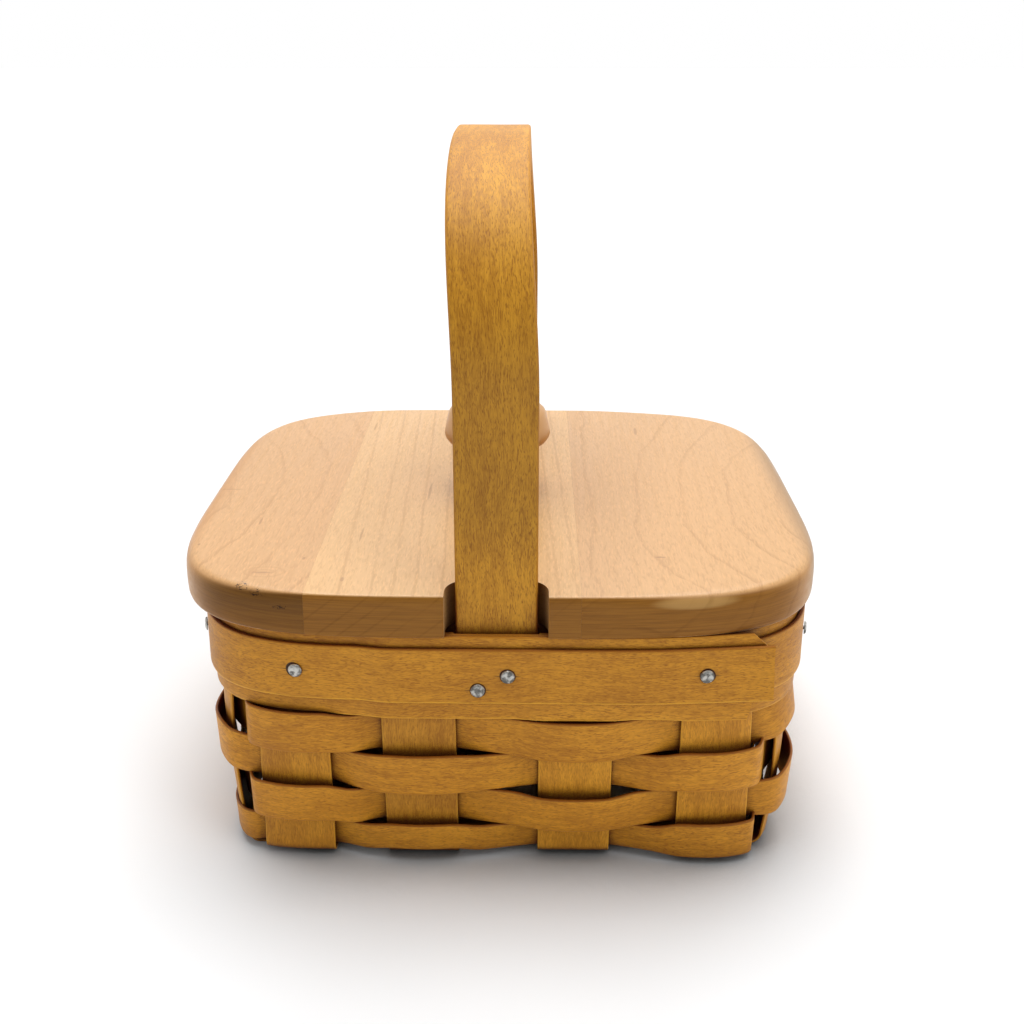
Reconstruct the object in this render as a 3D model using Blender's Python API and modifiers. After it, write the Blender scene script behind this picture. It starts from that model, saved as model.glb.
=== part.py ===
"""Woven splint pie basket with a fixed bent handle and a solid wooden lid.

Metres, +Z up. The basket stands on z = 0 with the middle of its lid over the
origin, the front faces -Y and the handle arches from front to back.
"""

import functools
import math

import bmesh
import bpy
from mathutils import Matrix, Vector

MM = 0.001

# Space left between two pieces that touch
CLEARANCE = 0.3 * MM

# Splints
UPRIGHT_WIDTH = 23.0 * MM
UPRIGHT_THICKNESS = 1.0 * MM
WEAVER_HEIGHT = 13.3 * MM
WEAVER_THICKNESS = 1.0 * MM
LOWEST_WEAVER_HEIGHT = 10.0 * MM
OUTER_BAND_HEIGHT = 28.2 * MM
OUTER_BAND_THICKNESS = 1.3 * MM
INNER_BAND_HEIGHT = 25.0 * MM
INNER_BAND_THICKNESS = 1.2 * MM
TRIM_HEIGHT = 18.3 * MM
TRIM_THICKNESS = 1.3 * MM

# Stack of the wall: woven base, four rows and the rim band
BASE_TOP = 2.0 * UPRIGHT_THICKNESS + CLEARANCE
FOOT_GAP = 1.0 * MM
WEAVER_GAP = 0.6 * MM
TOP_WEAVER_GAP = 0.5 * MM
FULL_WEAVERS = 3
WEAVER_STACK = LOWEST_WEAVER_HEIGHT + FULL_WEAVERS * (WEAVER_GAP + WEAVER_HEIGHT)
BAND_FOOT = BASE_TOP + FOOT_GAP + WEAVER_STACK + TOP_WEAVER_GAP
RIM_HEIGHT = BAND_FOOT + OUTER_BAND_HEIGHT
UPRIGHT_TOP_DROP = 0.5 * MM
INNER_BAND_DROP = 0.4 * MM
TRIM_DROP = 3.5 * MM

# Plan of the wall, measured at the middle of the upright splints; its middle stands
# a little to the right of the handle's and the lid's
WALL_PLACE = 1.8 * MM
RIM_HALF_WIDTH = 95.3 * MM
RIM_HALF_DEPTH = 91.0 * MM
SIDE_WALL_TAPER = 8.0 * MM
END_WALL_TAPER = 6.5 * MM
FOOT_HALF_WIDTH = RIM_HALF_WIDTH - SIDE_WALL_TAPER
FOOT_HALF_DEPTH = RIM_HALF_DEPTH - END_WALL_TAPER
RIM_CORNER_POWER = 5.0
FOOT_CORNER_POWER = 12.0
WALL_LEAN_POWER = 2.0

# Handle, a bent strip whose legs stand inside the rim
HANDLE_WIDTH = 24.6 * MM
HANDLE_THICKNESS = 5.3 * MM
HANDLE_TUCK = 26.2 * MM
HANDLE_LEG_RISE = 71.3 * MM
HANDLE_ARCH_RISE = 66.6 * MM
HANDLE_ARCH_POWER = 2.45
HANDLE_LEAN = -3.0 * MM
HANDLE_EDGE_ROUND = 0.8 * MM
HANDLE_SIDE_GAP = 0.5 * MM
HANDLE_ARCH_STEPS = 36

# Where the uprights stand, as the space left beyond the outer ones at the corners
RIM_LEFT_SPACE = 18.3 * MM
RIM_RIGHT_SPACE = 17.6 * MM
RIM_END_SPACE = 17.0 * MM
BASE_LEFT_SPACE = 9.8 * MM
BASE_RIGHT_SPACE = 8.8 * MM
BASE_END_SPACE = 11.5 * MM
SIDE_INNER_PLACE = 20.7 * MM
FOOT_BEND_RADIUS = 3.0 * MM
FOOT_BEND_STEPS = 4
FLAT_OVERRUN = 1.5 * MM
WALL_STEPS = 6

# Weave of the rows, which are counted from the rim down
WEAVER_BULGE = 4.2 * MM
WEAVER_SINK = 2.6 * MM
WEAVER_EDGE_SHARE = 0.73
WEAVER_STARTS = (7, 8, 9, 6)
WEAVER_LAP = 0.3
WEAVER_STEPS = 7

# Laps of the rim at the front's right upright, as distances along the wall from its middle
BAND_START = -100.0 * MM
SPRING_START = -12.5 * MM
BAND_END = 11.5 * MM
TRIM_START = 5.0 * MM
TRIM_END = 16.0 * MM
LAP_RAMP = 12.0 * MM
BAND_STEPS = 120

# Tacks
TACK_HEAD_RADIUS = 2.15 * MM
TACK_HEAD_THICKNESS = 0.8 * MM
TACK_SHANK_RADIUS = 0.6 * MM
TACK_LENGTH = 6.8 * MM
TACK_SIDES = 8
RIM_TACK_DROP = 12.4 * MM
LEFT_TACK_SHIFT = 3.4 * MM
RIGHT_TACK_SHIFT = -4.9 * MM
END_TACK_SHIFT = 2.0 * MM
HANDLE_TACKS = ((-5.6 * MM, 17.1 * MM), (3.4 * MM, 12.3 * MM))

# Lid, three boards glued edge to edge and cut out for the handle's legs
LID_SIDE_OVERHANG = 8.2 * MM
LID_END_OVERHANG = 5.0 * MM
LID_THICKNESS = 13.0 * MM
LID_CORNER_POWER = 4.35
LID_EDGE_ROUND = 3.0 * MM
LID_EDGE_STEPS = 3
LID_OUTLINE_STEPS = 16
LID_HALF_WIDTH = RIM_HALF_WIDTH + LID_SIDE_OVERHANG
LID_HALF_DEPTH = RIM_HALF_DEPTH + LID_END_OVERHANG
LEFT_BOARD_WIDTH = 46.4 * MM
RIGHT_BOARD_WIDTH = 78.4 * MM
NOTCH_SIDE_GAP = 3.2 * MM
NOTCH_END_GAP = 2.8 * MM
NOTCH_CORNER_RADIUS = 8.5 * MM

# Knob and its screw
KNOB_RADIUS = 18.7 * MM
KNOB_HEIGHT = 31.0 * MM
KNOB_PLACE = -2.0 * MM
KNOB_NECK_RADIUS = 7.2 * MM
KNOB_FOOT_RADIUS = 10.0 * MM
KNOB_SCREW_DEPTH = 17.0 * MM
SCREW_SHANK_RADIUS = 2.1 * MM
SCREW_HEAD_RADIUS = 4.2 * MM
SCREW_HEAD_DEPTH = 2.4 * MM
TURNED_STEPS = 24

HONEY_MAPLE = (0.485, 0.223, 0.035)
PALE_MAPLE = (0.84, 0.56, 0.32)
TACK_STEEL = (0.42, 0.41, 0.40)
SCREW_STEEL = (0.55, 0.52, 0.45)

LOOP_STEPS = 720
MERGE_DISTANCE = 0.00001


def clear_scene():
    for item in list(bpy.data.objects):
        bpy.data.objects.remove(item, do_unlink=True)


def new_collection(name):
    collection = bpy.data.collections.new(name)
    bpy.context.scene.collection.children.link(collection)
    return collection


clear_scene()
BASKET = new_collection("pie_basket")
CUTTERS = new_collection("cutters")


def make_material(name, colour, roughness, metallic=0.0):
    material = bpy.data.materials.new(name)
    material.use_nodes = True
    shader = material.node_tree.nodes["Principled BSDF"]
    shader.inputs["Base Color"].default_value = (*colour, 1.0)
    shader.inputs["Roughness"].default_value = roughness
    shader.inputs["Metallic"].default_value = metallic
    material.diffuse_color = (*colour, 1.0)
    return material


def smooth_step(share):
    share = min(max(share, 0.0), 1.0)
    return share * share * (3.0 - 2.0 * share)


def blend(first, last, share):
    return first + (last - first) * share


# Shape of the wall

def wall_spread(height):
    """Share of the way from foot size to rim size that the wall has opened."""
    if height > BAND_FOOT:
        band_share = (height - BAND_FOOT) / OUTER_BAND_HEIGHT
        return blend(wall_spread(BAND_FOOT), 1.0, band_share)
    rise = max(height / RIM_HEIGHT, 0.0)
    return 1.0 - (1.0 - rise) ** WALL_LEAN_POWER


def wall_half_width(height):
    return blend(FOOT_HALF_WIDTH, RIM_HALF_WIDTH, wall_spread(height))


def wall_half_depth(height):
    return blend(FOOT_HALF_DEPTH, RIM_HALF_DEPTH, wall_spread(height))


def wall_corner_power(height):
    return blend(FOOT_CORNER_POWER, RIM_CORNER_POWER, wall_spread(height))


def upright_centres(height, runs_across):
    """Places of the uprights' centre lines, which fan out from base to rim."""
    spread = wall_spread(height)
    half_upright = UPRIGHT_WIDTH / 2.0
    if runs_across:
        left = blend(FOOT_HALF_WIDTH - BASE_LEFT_SPACE, RIM_HALF_WIDTH - RIM_LEFT_SPACE, spread)
        right = blend(FOOT_HALF_WIDTH - BASE_RIGHT_SPACE, RIM_HALF_WIDTH - RIM_RIGHT_SPACE, spread)
        inner = HANDLE_WIDTH / 2.0 + HANDLE_SIDE_GAP + half_upright
        return [WALL_PLACE - left + half_upright, -inner, inner, WALL_PLACE + right - half_upright]
    end = blend(FOOT_HALF_DEPTH - BASE_END_SPACE, RIM_HALF_DEPTH - RIM_END_SPACE, spread)
    return [half_upright - end, -SIDE_INNER_PLACE, SIDE_INNER_PLACE, end - half_upright]


def oval_reach(place, half_here, half_there, power):
    """Reach of a soft-cornered oval on one axis, at a place on the other."""
    share = min(abs(place) / half_here, 1.0)
    return half_there * (1.0 - share ** power) ** (1.0 / power)


class WallLoop:
    """The wall at one height, walked anticlockwise from the middle of the front."""

    def __init__(self, height):
        self.height = height
        self.width = wall_half_width(height)
        self.depth = wall_half_depth(height)
        self.power = wall_corner_power(height)
        self.lengths = [0.0]
        last = self.point(0.0)
        for step in range(1, LOOP_STEPS + 1):
            here = self.point(step / LOOP_STEPS)
            self.lengths.append(self.lengths[-1] + (here - last).length)
            last = here
        self.perimeter = self.lengths[-1]

    def point(self, turn):
        angle = turn * math.tau - math.pi / 2.0
        along = abs(math.cos(angle) / self.width) ** self.power
        up = abs(math.sin(angle) / self.depth) ** self.power
        radius = (along + up) ** (-1.0 / self.power)
        return Vector((WALL_PLACE + radius * math.cos(angle), radius * math.sin(angle), self.height))

    def normal(self, point):
        x = point.x - WALL_PLACE
        x_share = abs(x / self.width) ** (self.power - 1.0) / self.width
        y_share = abs(point.y / self.depth) ** (self.power - 1.0) / self.depth
        across = math.copysign(x_share, x)
        along = math.copysign(y_share, point.y)
        return Vector((across, along, 0.0)).normalized()

    def place(self, length):
        """Point and outward direction at a distance walked along the loop."""
        length = length % self.perimeter
        low = 0
        high = LOOP_STEPS
        while high - low > 1:
            middle = (low + high) // 2
            if self.lengths[middle] <= length:
                low = middle
            else:
                high = middle
        span = self.lengths[high] - self.lengths[low]
        share = (length - self.lengths[low]) / span
        point = self.point((low + share) / LOOP_STEPS)
        return point, self.normal(point)

    def length_at(self, x, y):
        """Distance walked when the loop passes the direction of a point."""
        angle = math.atan2(y, x - WALL_PLACE) + math.pi / 2.0
        turn = (angle % math.tau) / math.tau
        step = turn * LOOP_STEPS
        low = min(int(step), LOOP_STEPS - 1)
        return blend(self.lengths[low], self.lengths[low + 1], step - low)

    def face(self, place, runs_across, side):
        """Where the front or back wall passes an x, or a side wall passes a y."""
        if runs_across:
            return place, side * oval_reach(place - WALL_PLACE, self.width, self.depth, self.power)
        return WALL_PLACE + side * oval_reach(place, self.depth, self.width, self.power), place

    def face_length(self, place, runs_across, side):
        return self.length_at(*self.face(place, runs_across, side))

    def upright_lengths(self):
        """Where the loop crosses the uprights, from right of the front's middle."""
        crossings = []
        for runs_across in (True, False):
            for place in upright_centres(self.height, runs_across):
                crossings += [self.face_length(place, runs_across, side) for side in (-1.0, 1.0)]
        return sorted(crossings)


@functools.cache
def wall_loop(height):
    return WallLoop(height)


# Making and placing objects

def add_object(name, mesh, material, collection=None):
    if material is not None:
        mesh.materials.append(material)
    item = bpy.data.objects.new(name, mesh)
    (collection or BASKET).objects.link(item)
    return item


def sheet_mesh(name, rows):
    """A strip swept from its first row of points through the others."""
    shape = bmesh.new()
    points = [shape.verts.new(place) for place in rows[0]]
    edges = [shape.edges.new(pair) for pair in zip(points, points[1:])]
    for row in rows[1:]:
        grown = bmesh.ops.extrude_edge_only(shape, edges=edges)["geom"]
        new_points = [part for part in grown if isinstance(part, bmesh.types.BMVert)]
        new_edges = [part for part in grown if isinstance(part, bmesh.types.BMEdge)]
        by_place = {}
        for old, target in zip(points, row):
            by_place[old.co.to_tuple()] = target
        order = {}
        for part in new_points:
            order[part.co.to_tuple()] = part
        points = [order[old.co.to_tuple()] for old in points]
        for part, target in zip(points, row):
            part.co = target
        ends = set(points)
        edges = [edge for edge in new_edges if edge.verts[0] in ends and edge.verts[1] in ends]
    bmesh.ops.recalc_face_normals(shape, faces=shape.faces)
    mesh = bpy.data.meshes.new(name)
    shape.to_mesh(mesh)
    shape.free()
    return mesh


def add_splint(name, rows, thickness, material):
    item = add_object(name, sheet_mesh(name, rows), material)
    solid = item.modifiers.new("thickness", "SOLIDIFY")
    solid.thickness = thickness
    solid.offset = 0.0
    solid.use_even_offset = True
    item.data.shade_smooth()
    item.data.set_sharp_from_angle(angle=math.radians(40.0))
    return item


def turned_mesh(name, profile, steps=TURNED_STEPS):
    """Turn a profile, given top to bottom down its outer side, about Z."""
    mesh = bpy.data.meshes.new(name)
    points = [(radius, 0.0, height) for radius, height in profile]
    links = [(index, index + 1) for index in range(len(profile) - 1)]
    mesh.from_pydata(points, links, [])
    blank = bpy.data.objects.new(name, mesh)
    CUTTERS.objects.link(blank)
    screw = blank.modifiers.new("turn", "SCREW")
    screw.steps = steps
    screw.render_steps = steps
    screw.use_merge_vertices = True
    screw.merge_threshold = MERGE_DISTANCE
    screw.use_smooth_shade = True
    graph = bpy.context.evaluated_depsgraph_get()
    turned = bpy.data.meshes.new_from_object(blank.evaluated_get(graph))
    bpy.data.objects.remove(blank, do_unlink=True)
    turned.name = name
    return turned


def add_cutter(name, mesh):
    cutter = add_object(name, mesh, None, CUTTERS)
    cutter.hide_render = True
    cutter.display_type = "WIRE"
    return cutter


def cut(item, cutter, operation="DIFFERENCE"):
    modifier = item.modifiers.new(cutter.name, "BOOLEAN")
    modifier.operation = operation
    modifier.solver = "EXACT"
    modifier.object = cutter


def copies_mesh(name, mesh, frames):
    """One mesh that holds a copy of another at each frame."""
    shape = bmesh.new()
    for frame in frames:
        copy = mesh.copy()
        copy.transform(frame)
        shape.from_mesh(copy)
        bpy.data.meshes.remove(copy)
    joined = bpy.data.meshes.new(name)
    shape.to_mesh(joined)
    shape.free()
    return joined


# Upright splints

def level_at(place, crossings, first_sign):
    """Height of a splint in the woven base, as a share from -1 to 1."""
    signs = [first_sign * (-1) ** index for index in range(len(crossings))]
    flat = UPRIGHT_WIDTH / 2.0 + FLAT_OVERRUN
    if place <= crossings[0]:
        return signs[0]
    for index in range(len(crossings) - 1):
        start = crossings[index] + flat
        end = crossings[index + 1] - flat
        if place <= crossings[index + 1]:
            return blend(signs[index], signs[index + 1], smooth_step((place - start) / (end - start)))
    return signs[-1]


def base_places(crossings):
    """Places along the base where a splint's centre line has a point."""
    flat = UPRIGHT_WIDTH / 2.0 + FLAT_OVERRUN
    places = []
    for start, end in zip(crossings, crossings[1:]):
        for share in (0.0, 0.33, 0.67, 1.0):
            places.append(blend(start + flat, end - flat, share))
    return places


def upright_column(index, offset, runs_across, crossings, first_sign):
    """Centre line of a splint at one place across its width, rim to rim."""
    lift = (UPRIGHT_THICKNESS + CLEARANCE) / 2.0
    base_level = lift + UPRIGHT_THICKNESS / 2.0
    bend_top = 2.0 * lift + base_level + FOOT_BEND_RADIUS
    heights = [RIM_HEIGHT - UPRIGHT_TOP_DROP]
    heights += [blend(bend_top, BAND_FOOT, step / WALL_STEPS) for step in range(WALL_STEPS, 0, -1)]
    base_place = upright_centres(0.0, runs_across)[index] + offset

    def wall_point(height, side):
        loop = wall_loop(height)
        length = loop.face_length(upright_centres(height, runs_across)[index], runs_across, side)
        forward = -side if runs_across else side
        return loop.place(length + forward * offset)[0]

    def half_column(side, level):
        floor = base_level + lift * level
        points = [wall_point(height, side) for height in heights]
        foot = wall_point(floor + FOOT_BEND_RADIUS, side)
        place, reach = (foot.x, foot.y) if runs_across else (foot.y, foot.x)
        for step in range(FOOT_BEND_STEPS + 1):
            share = step / FOOT_BEND_STEPS
            inward = FOOT_BEND_RADIUS * (1.0 - math.cos(share * math.pi / 2.0))
            height = floor + FOOT_BEND_RADIUS * (1.0 - math.sin(share * math.pi / 2.0))
            across = blend(place, base_place, smooth_step(share))
            along = reach - side * inward
            points.append(Vector((across, along, height) if runs_across else (along, across, height)))
        return points

    last_sign = first_sign * (-1) ** (len(crossings) - 1)
    base = []
    for place in base_places(crossings):
        height = base_level + lift * level_at(place, crossings, first_sign)
        base.append(Vector((base_place, place, height) if runs_across else (place, base_place, height)))
    return half_column(-1.0, first_sign) + base + half_column(1.0, last_sign)[::-1]


def make_uprights(material):
    """The splints of both directions, which cross in the base."""
    places_across = upright_centres(0.0, True)
    places_along = upright_centres(0.0, False)
    uprights = [("front_back", index, True, places_along, 1) for index in range(len(places_across))]
    uprights += [("side_side", index, False, places_across, -1) for index in range(len(places_along))]
    made = {}
    for way, index, runs_across, crossings, sense in uprights:
        outer = index in (0, 3)
        columns = 4 if outer else 2
        first_sign = sense * (-1) ** index
        rows = []
        for column in range(columns + 1):
            offset = UPRIGHT_WIDTH * (column / columns - 0.5)
            rows.append(upright_column(index, offset, runs_across, crossings, first_sign))
        name = f"upright_{way}_{index + 1}"
        made[name] = add_splint(name, rows, UPRIGHT_THICKNESS, material)
    return made


# Woven rows

def weaver_levels():
    """Lowest and highest level of each row, from the rim down."""
    levels = []
    top = BAND_FOOT - TOP_WEAVER_GAP
    for height in [WEAVER_HEIGHT] * FULL_WEAVERS + [LOWEST_WEAVER_HEIGHT]:
        levels.append((top - height, top))
        top -= height + WEAVER_GAP
    return levels


def weaver_wave(share, pitch):
    """Swing of a row from 1 at one upright to -1 at the next, turning between their edges."""
    half_upright = UPRIGHT_WIDTH / 2.0 / pitch
    distance = min(share, 1.0 - share)
    if distance < half_upright:
        wave = 1.0 - (1.0 - WEAVER_EDGE_SHARE) * (distance / half_upright) ** 2
        return wave if share < 0.5 else -wave
    turn = (share - half_upright) / (1.0 - 2.0 * half_upright)
    edge_slope = 2.0 * (1.0 - WEAVER_EDGE_SHARE) * (1.0 - 2.0 * half_upright) / half_upright
    middle_turn = turn * (1.0 - turn) * (1.0 - 2.0 * turn)
    return WEAVER_EDGE_SHARE * (1.0 - 2.0 * smooth_step(turn)) - edge_slope * middle_turn


def weaver_rail(height, row, start):
    """Centre line of a row at one height, once round and lapped at its ends."""
    loop = wall_loop(height)
    crossings = loop.upright_lengths()
    count = len(crossings)
    first = start - WEAVER_LAP
    last = start + count + WEAVER_LAP
    steps = round((last - first) * WEAVER_STEPS)
    mean = (WEAVER_BULGE - WEAVER_SINK) / 2.0
    swing = (WEAVER_BULGE + WEAVER_SINK) / 2.0
    points = []
    for step in range(steps + 1):
        walk = blend(first, last, step / steps)
        index = math.floor(walk)
        share = walk - index
        here = crossings[index % count] + loop.perimeter * (index // count)
        there = crossings[(index + 1) % count] + loop.perimeter * ((index + 1) // count)
        wave = weaver_wave(share, there - here)
        side = 1.0 if (index + row) % 2 == 0 else -1.0
        lap = smooth_step((walk - (last - 3.0 * WEAVER_LAP)) / WEAVER_LAP)
        offset = mean + side * swing * wave - lap * (WEAVER_THICKNESS + CLEARANCE)
        point, normal = loop.place(blend(here, there, share))
        points.append(point + normal * offset)
    return points


def make_weavers(material):
    for row, (low, high) in enumerate(weaver_levels()):
        start = WEAVER_STARTS[row]
        rails = [weaver_rail(low, row, start), weaver_rail(high, row, start)]
        add_splint(f"weaver_row_{row + 1}", rails, WEAVER_THICKNESS, material)


# Bands of the rim

def right_upright_length(height):
    """Distance walked along the wall to the middle of the front's right upright."""
    return wall_loop(height).face_length(upright_centres(RIM_HEIGHT, True)[3], True, -1.0)


def lapped_rail(height, inner_offset, lap_step, start, end):
    """A band once round the rim, its end lapped over its start and sprung straight."""
    loop = wall_loop(height)
    middle = right_upright_length(height)
    spring = loop.perimeter + middle + SPRING_START
    ramp_end = loop.perimeter + middle + BAND_START
    points = []
    for step in range(BAND_STEPS + 1):
        length = blend(middle + start, spring, step / BAND_STEPS)
        rise = smooth_step((length - ramp_end + LAP_RAMP) / LAP_RAMP)
        point, normal = loop.place(length)
        points.append(point + normal * (inner_offset + lap_step * rise))
    direction = Vector((-normal.y, normal.x, 0.0))
    points.append(points[-1] + direction * (end - SPRING_START))
    return points


def add_lapped_band(name, low, high, offset, lap_step, thickness, start, end, material):
    rails = [lapped_rail(height, offset, lap_step, start, end) for height in (low, high)]
    return add_splint(name, rails, thickness, material)


def handle_half_span():
    """From the middle to the outer face of a leg, which stands on the outer band at its foot."""
    return wall_half_depth(RIM_HEIGHT - HANDLE_TUCK) + UPRIGHT_THICKNESS / 2.0


def inner_rail(height):
    """The inner band, which bows inwards to pass behind the handle's legs."""
    loop = wall_loop(height)
    plain = UPRIGHT_THICKNESS / 2.0 + CLEARANCE + INNER_BAND_THICKNESS / 2.0
    behind_leg = handle_half_span() - HANDLE_THICKNESS - CLEARANCE - INNER_BAND_THICKNESS / 2.0
    flat = HANDLE_WIDTH / 2.0 + HANDLE_SIDE_GAP
    far = flat + UPRIGHT_WIDTH
    start = loop.face_length(SIDE_INNER_PLACE, False, -1.0)
    lap = INNER_BAND_THICKNESS + CLEARANCE
    points = []
    for step in range(BAND_STEPS + 1):
        length = start + step / BAND_STEPS * (loop.perimeter + UPRIGHT_WIDTH)
        point, normal = loop.place(length)
        near_leg = 1.0 - smooth_step((abs(point.x) - flat) / (far - flat))
        if abs(point.x) > far:
            near_leg = 0.0
        offset = blend(plain, loop.depth - behind_leg, near_leg)
        over = length - start - loop.perimeter + LAP_RAMP
        offset += lap * smooth_step(over / LAP_RAMP)
        points.append(point - normal * offset)
    return points


def make_rim(material):
    band_offset = UPRIGHT_THICKNESS / 2.0 + CLEARANCE + OUTER_BAND_THICKNESS / 2.0
    lap_step = OUTER_BAND_THICKNESS + CLEARANCE
    outer = add_lapped_band("outer_rim_band", BAND_FOOT, RIM_HEIGHT, band_offset, lap_step,
                            OUTER_BAND_THICKNESS, BAND_START, BAND_END, material)
    trim_top = RIM_HEIGHT - TRIM_DROP
    trim_offset = band_offset + (OUTER_BAND_THICKNESS + TRIM_THICKNESS) / 2.0 + CLEARANCE
    trim = add_lapped_band("rim_trim_strip", trim_top - TRIM_HEIGHT, trim_top, trim_offset, lap_step,
                           TRIM_THICKNESS, TRIM_START, TRIM_END, material)
    inner_top = RIM_HEIGHT - INNER_BAND_DROP
    rails = [inner_rail(inner_top - INNER_BAND_HEIGHT), inner_rail(inner_top)]
    inner = add_splint("inner_rim_band", rails, INNER_BAND_THICKNESS, material)
    return outer, trim, inner, trim_offset + TRIM_THICKNESS / 2.0, lap_step


# Handle

def handle_line():
    """Centre line of the strip in the plane x = 0, from front leg to back leg."""
    half_span = handle_half_span()
    spring_height = RIM_HEIGHT + HANDLE_LEG_RISE
    outer = [(-half_span, RIM_HEIGHT - HANDLE_TUCK)]
    for step in range(HANDLE_ARCH_STEPS + 1):
        angle = math.pi * (1.0 - step / HANDLE_ARCH_STEPS)
        across = math.cos(angle)
        up = math.sin(angle)
        power = HANDLE_ARCH_POWER
        radius = (abs(across) ** power + abs(up) ** power) ** (-1.0 / power)
        outer.append((half_span * radius * across, spring_height + HANDLE_ARCH_RISE * radius * up))
    outer.append((half_span, RIM_HEIGHT - HANDLE_TUCK))
    centre = []
    for index, (place, height) in enumerate(outer):
        before = outer[max(index - 1, 0)]
        after = outer[min(index + 1, len(outer) - 1)]
        along = Vector((after[0] - before[0], after[1] - before[1])).normalized()
        inward = Vector((along.y, -along.x)) * HANDLE_THICKNESS / 2.0
        centre.append((place + inward.x, height + inward.y))
    return centre


def handle_lean(height):
    """How far the arch leans aside at a height above its straight legs."""
    return HANDLE_LEAN * smooth_step((height - RIM_HEIGHT - HANDLE_LEG_RISE) / HANDLE_ARCH_RISE)


def make_handle(material):
    line = handle_line()
    rows = []
    for side in (-0.5, 0.5):
        edge = [Vector((side * HANDLE_WIDTH + handle_lean(height), place, height)) for place, height in line]
        rows.append(edge)
    handle = add_splint("handle", rows, HANDLE_THICKNESS, material)
    ease = handle.modifiers.new("eased_edges", "BEVEL")
    ease.width = HANDLE_EDGE_ROUND
    ease.segments = 1
    ease.limit_method = "ANGLE"
    ease.angle_limit = math.radians(50.0)
    return handle


# Tacks

def tack_frame(point, outward):
    """Frame at the underside of a head, its Z axis pointing out of the wall."""
    side = Vector((0.0, 0.0, 1.0)).cross(outward).normalized()
    up = outward.cross(side)
    frame = Matrix((side, up, outward)).transposed().to_4x4()
    frame.translation = point
    return frame


def wall_tack(place, runs_across, side, skin):
    """A tack on the outer face of the trim, at a place along one wall."""
    loop = wall_loop(RIM_HEIGHT - RIM_TACK_DROP)
    point, normal = loop.place(loop.face_length(place, runs_across, side))
    return tack_frame(point + normal * (skin + CLEARANCE), normal)


def sprung_tack(x, skin, lap_step):
    """The tack that holds the sprung end of the trim at the front's right upright."""
    height = RIM_HEIGHT - RIM_TACK_DROP
    loop = wall_loop(height)
    leave, normal = loop.place(right_upright_length(height) + SPRING_START)
    leave = leave + normal * (skin + lap_step + CLEARANCE)
    direction = Vector((-normal.y, normal.x, 0.0))
    return tack_frame(leave + direction * ((x - leave.x) / direction.x), normal)


def rim_tack_frames(skin, lap_step):
    height = RIM_HEIGHT - RIM_TACK_DROP
    across = upright_centres(height, True)
    left = across[0] + LEFT_TACK_SHIFT
    right = across[3] + RIGHT_TACK_SHIFT
    end = upright_centres(height, False)[3] - END_TACK_SHIFT
    frames = [wall_tack(left, True, -1.0, skin), sprung_tack(right, skin, lap_step)]
    frames += [wall_tack(place, True, 1.0, skin) for place in (left, right)]
    for place in (-end, end):
        frames += [wall_tack(place, False, side, skin) for side in (1.0, -1.0)]
    return frames


def handle_tack_frames(skin, lap_step):
    """Two tacks in each leg; the front ones go through both layers of the lapped band."""
    frames = []
    for side, lift in ((-1.0, skin + lap_step), (1.0, skin)):
        for x, drop in HANDLE_TACKS:
            place = -side * x
            height = RIM_HEIGHT - drop
            reach = wall_loop(height).face(place, True, side)[1] + side * (lift + CLEARANCE)
            frames.append(tack_frame(Vector((place, reach, height)), Vector((0.0, side, 0.0))))
    return frames


def make_tacks(skin, lap_step, material):
    """All the tacks, and the cutters for the holes they are driven into."""
    dome = TACK_HEAD_THICKNESS
    profile = [(0.0, dome), (TACK_HEAD_RADIUS * 0.6, dome * 0.85), (TACK_HEAD_RADIUS * 0.95, dome * 0.4),
               (TACK_HEAD_RADIUS, 0.0), (TACK_SHANK_RADIUS, 0.0),
               (TACK_SHANK_RADIUS, -TACK_LENGTH + 2.0 * TACK_SHANK_RADIUS), (0.0, -TACK_LENGTH)]
    tack = turned_mesh("tack", profile, TACK_SIDES)
    tack.materials.append(material)
    tack.set_sharp_from_angle(angle=math.radians(50.0))
    hole_radius = TACK_SHANK_RADIUS + CLEARANCE
    hole_end = -TACK_LENGTH - CLEARANCE
    hole_profile = [(0.0, dome), (hole_radius, dome), (hole_radius, hole_end), (0.0, hole_end)]
    hole = turned_mesh("tack_hole", hole_profile, TACK_SIDES)
    groups = {"rim_tack": rim_tack_frames(skin, lap_step),
              "handle_tack": handle_tack_frames(skin, lap_step)}
    holes = {}
    for name, frames in groups.items():
        for index, frame in enumerate(frames):
            driven = add_object(f"{name}_{index + 1}", tack, None)
            driven.matrix_world = frame
        holes[name] = add_cutter(f"{name}_holes", copies_mesh(f"{name}_holes", hole, frames))
    bpy.data.meshes.remove(hole)
    return holes


# Lid

def arc_points(centre, radius, first, last, steps):
    points = []
    for step in range(steps + 1):
        angle = math.radians(blend(first, last, step / steps))
        points.append((centre[0] + radius * math.cos(angle), centre[1] + radius * math.sin(angle)))
    return points


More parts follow.
